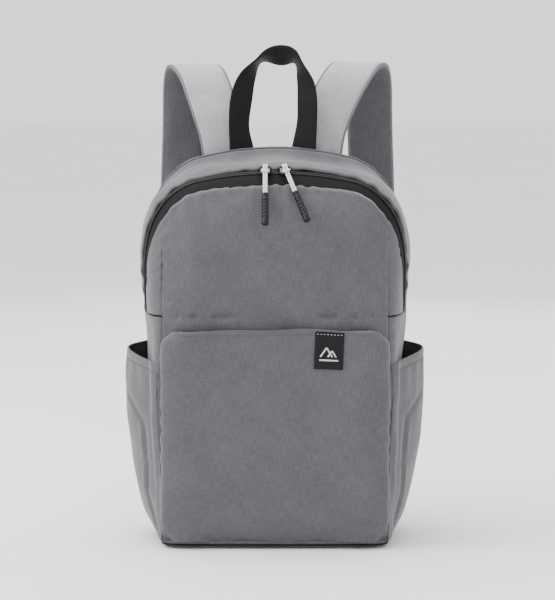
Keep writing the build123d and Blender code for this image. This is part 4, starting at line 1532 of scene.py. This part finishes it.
# the webbing's two edges in millimetres, from its left foot over the top to its right foot
LOOP_FRONT = [
    (-46.5, 55, 383.6), (-46.8, 54.5, 411), (-45.2, 54, 439.3), (-35, 52, 462.6), (-13.2, 51, 482.7),
    (3.5, 55, 491.8), (19.7, 51, 485.7), (36.9, 52, 459.5), (42.6, 54, 439.3), (42.6, 54.5, 414),
    (41.7, 55, 383.6),
]
LOOP_REAR = [
    (-21, 62, 383.3), (-26.4, 63, 408.7), (-22.9, 64, 439.2), (-18.9, 68, 459.4), (-15.9, 73, 473.1),
    (3.5, 70, 471.6), (22.7, 73, 470), (22.2, 68, 457.4), (23, 64, 438.2), (22.2, 63, 412.8),
    (16.3, 62, 383.3),
]


def haul_loop():
    """Webbing loop on top of the bag, between its two edges, slightly bowed across."""
    count = 161
    front, rear = through(LOOP_FRONT, count) * MM, through(LOOP_REAR, count) * MM
    for _ in range(3):
        for edge in (front, rear):
            edge[1:-1] = (edge[:-2] + edge[1:-1] * 2 + edge[2:]) / 4
    way = rear - front
    path = (front + rear) / 2
    along = unit(np.gradient(path, axis=0))
    across = way - along * (way * along).sum(-1, keepdims=True)
    half = np.linalg.norm(across, axis=1) / 2
    profile = np.array([flat_profile(2 * h, 0.0019, 12) for h in half])
    t = np.linspace(0, 1, count)[:, None]
    bow = 0.0010 * np.sin(pi * t) * (1 - (profile[..., 0] / half[:, None]) ** 2)
    profile[..., 1] += bow + 0.0003 * np.sin(t * 40)
    place(band("haul_loop_web", path, across, profile, WEBBING), "handle", "webbing", "haul_loop")


haul_loop()


# ---------------------------------------------------------------- inside
def inside():
    """Lining on the rear wall, the padded sleeve with its bound edge, and its closing tab."""
    rows, cols = 60, 60
    half, low, high = 0.104, 0.0165, 0.250
    grid = np.zeros((rows, cols, 3))
    for i in range(rows):
        v = i / (rows - 1)
        z = low + (high - low) * v
        corner = 0.010 * (1 - smooth_step(z, low, low + 0.012))
        for j in range(cols):
            u = 2 * j / (cols - 1) - 1
            seam = 1 - smooth_step(1 - abs(u), 0, 0.07)
            base_seam = 1 - smooth_step(v, 0, 0.05)
            bulge = 0.0008 * sin(u * 9 + v * 5) - 0.0022 * sin(pi * min(1, v * 1.2))
            bulge += 0.0012 * smooth_step(v, 0.9, 1)
            y = 0.0372 + 0.0135 * max(seam, base_seam) ** 1.6 + bulge * (1 - seam)
            grid[i, j] = u * (half - corner), y, z
    place(cloth("sleeve_cloth", grid, -Y, 0.0024, LINING), "pack", "lining", "laptop_sleeve")
    place(tube("sleeve_binding", grid[-1] + Y * 0.0012, 0.0022, TAPE_SOLID, 10), "pack", "webbing")
    route = [(0, 50.4, 292), (0, 46.5, 276), (0, 41, 259), (0, 36.2, 249), (0, 34.2, 238), (0, 34.6, 214)]
    tab = spline(np.array(route) * MM, 60)
    piece = band("sleeve_tab_web", tab, np.repeat(X[None], len(tab), 0), flat_profile(0.025, 0.0016), WEBBING)
    place(piece, "pack", "lining", "sleeve_tab")
    seam = stitches("sleeve_stitch", grid[-4, 3:-3] - Y * 0.0003, -Y, DARK_THREAD, 0.0034, 0.0023)
    place(seam, "pack", "lining")


inside()
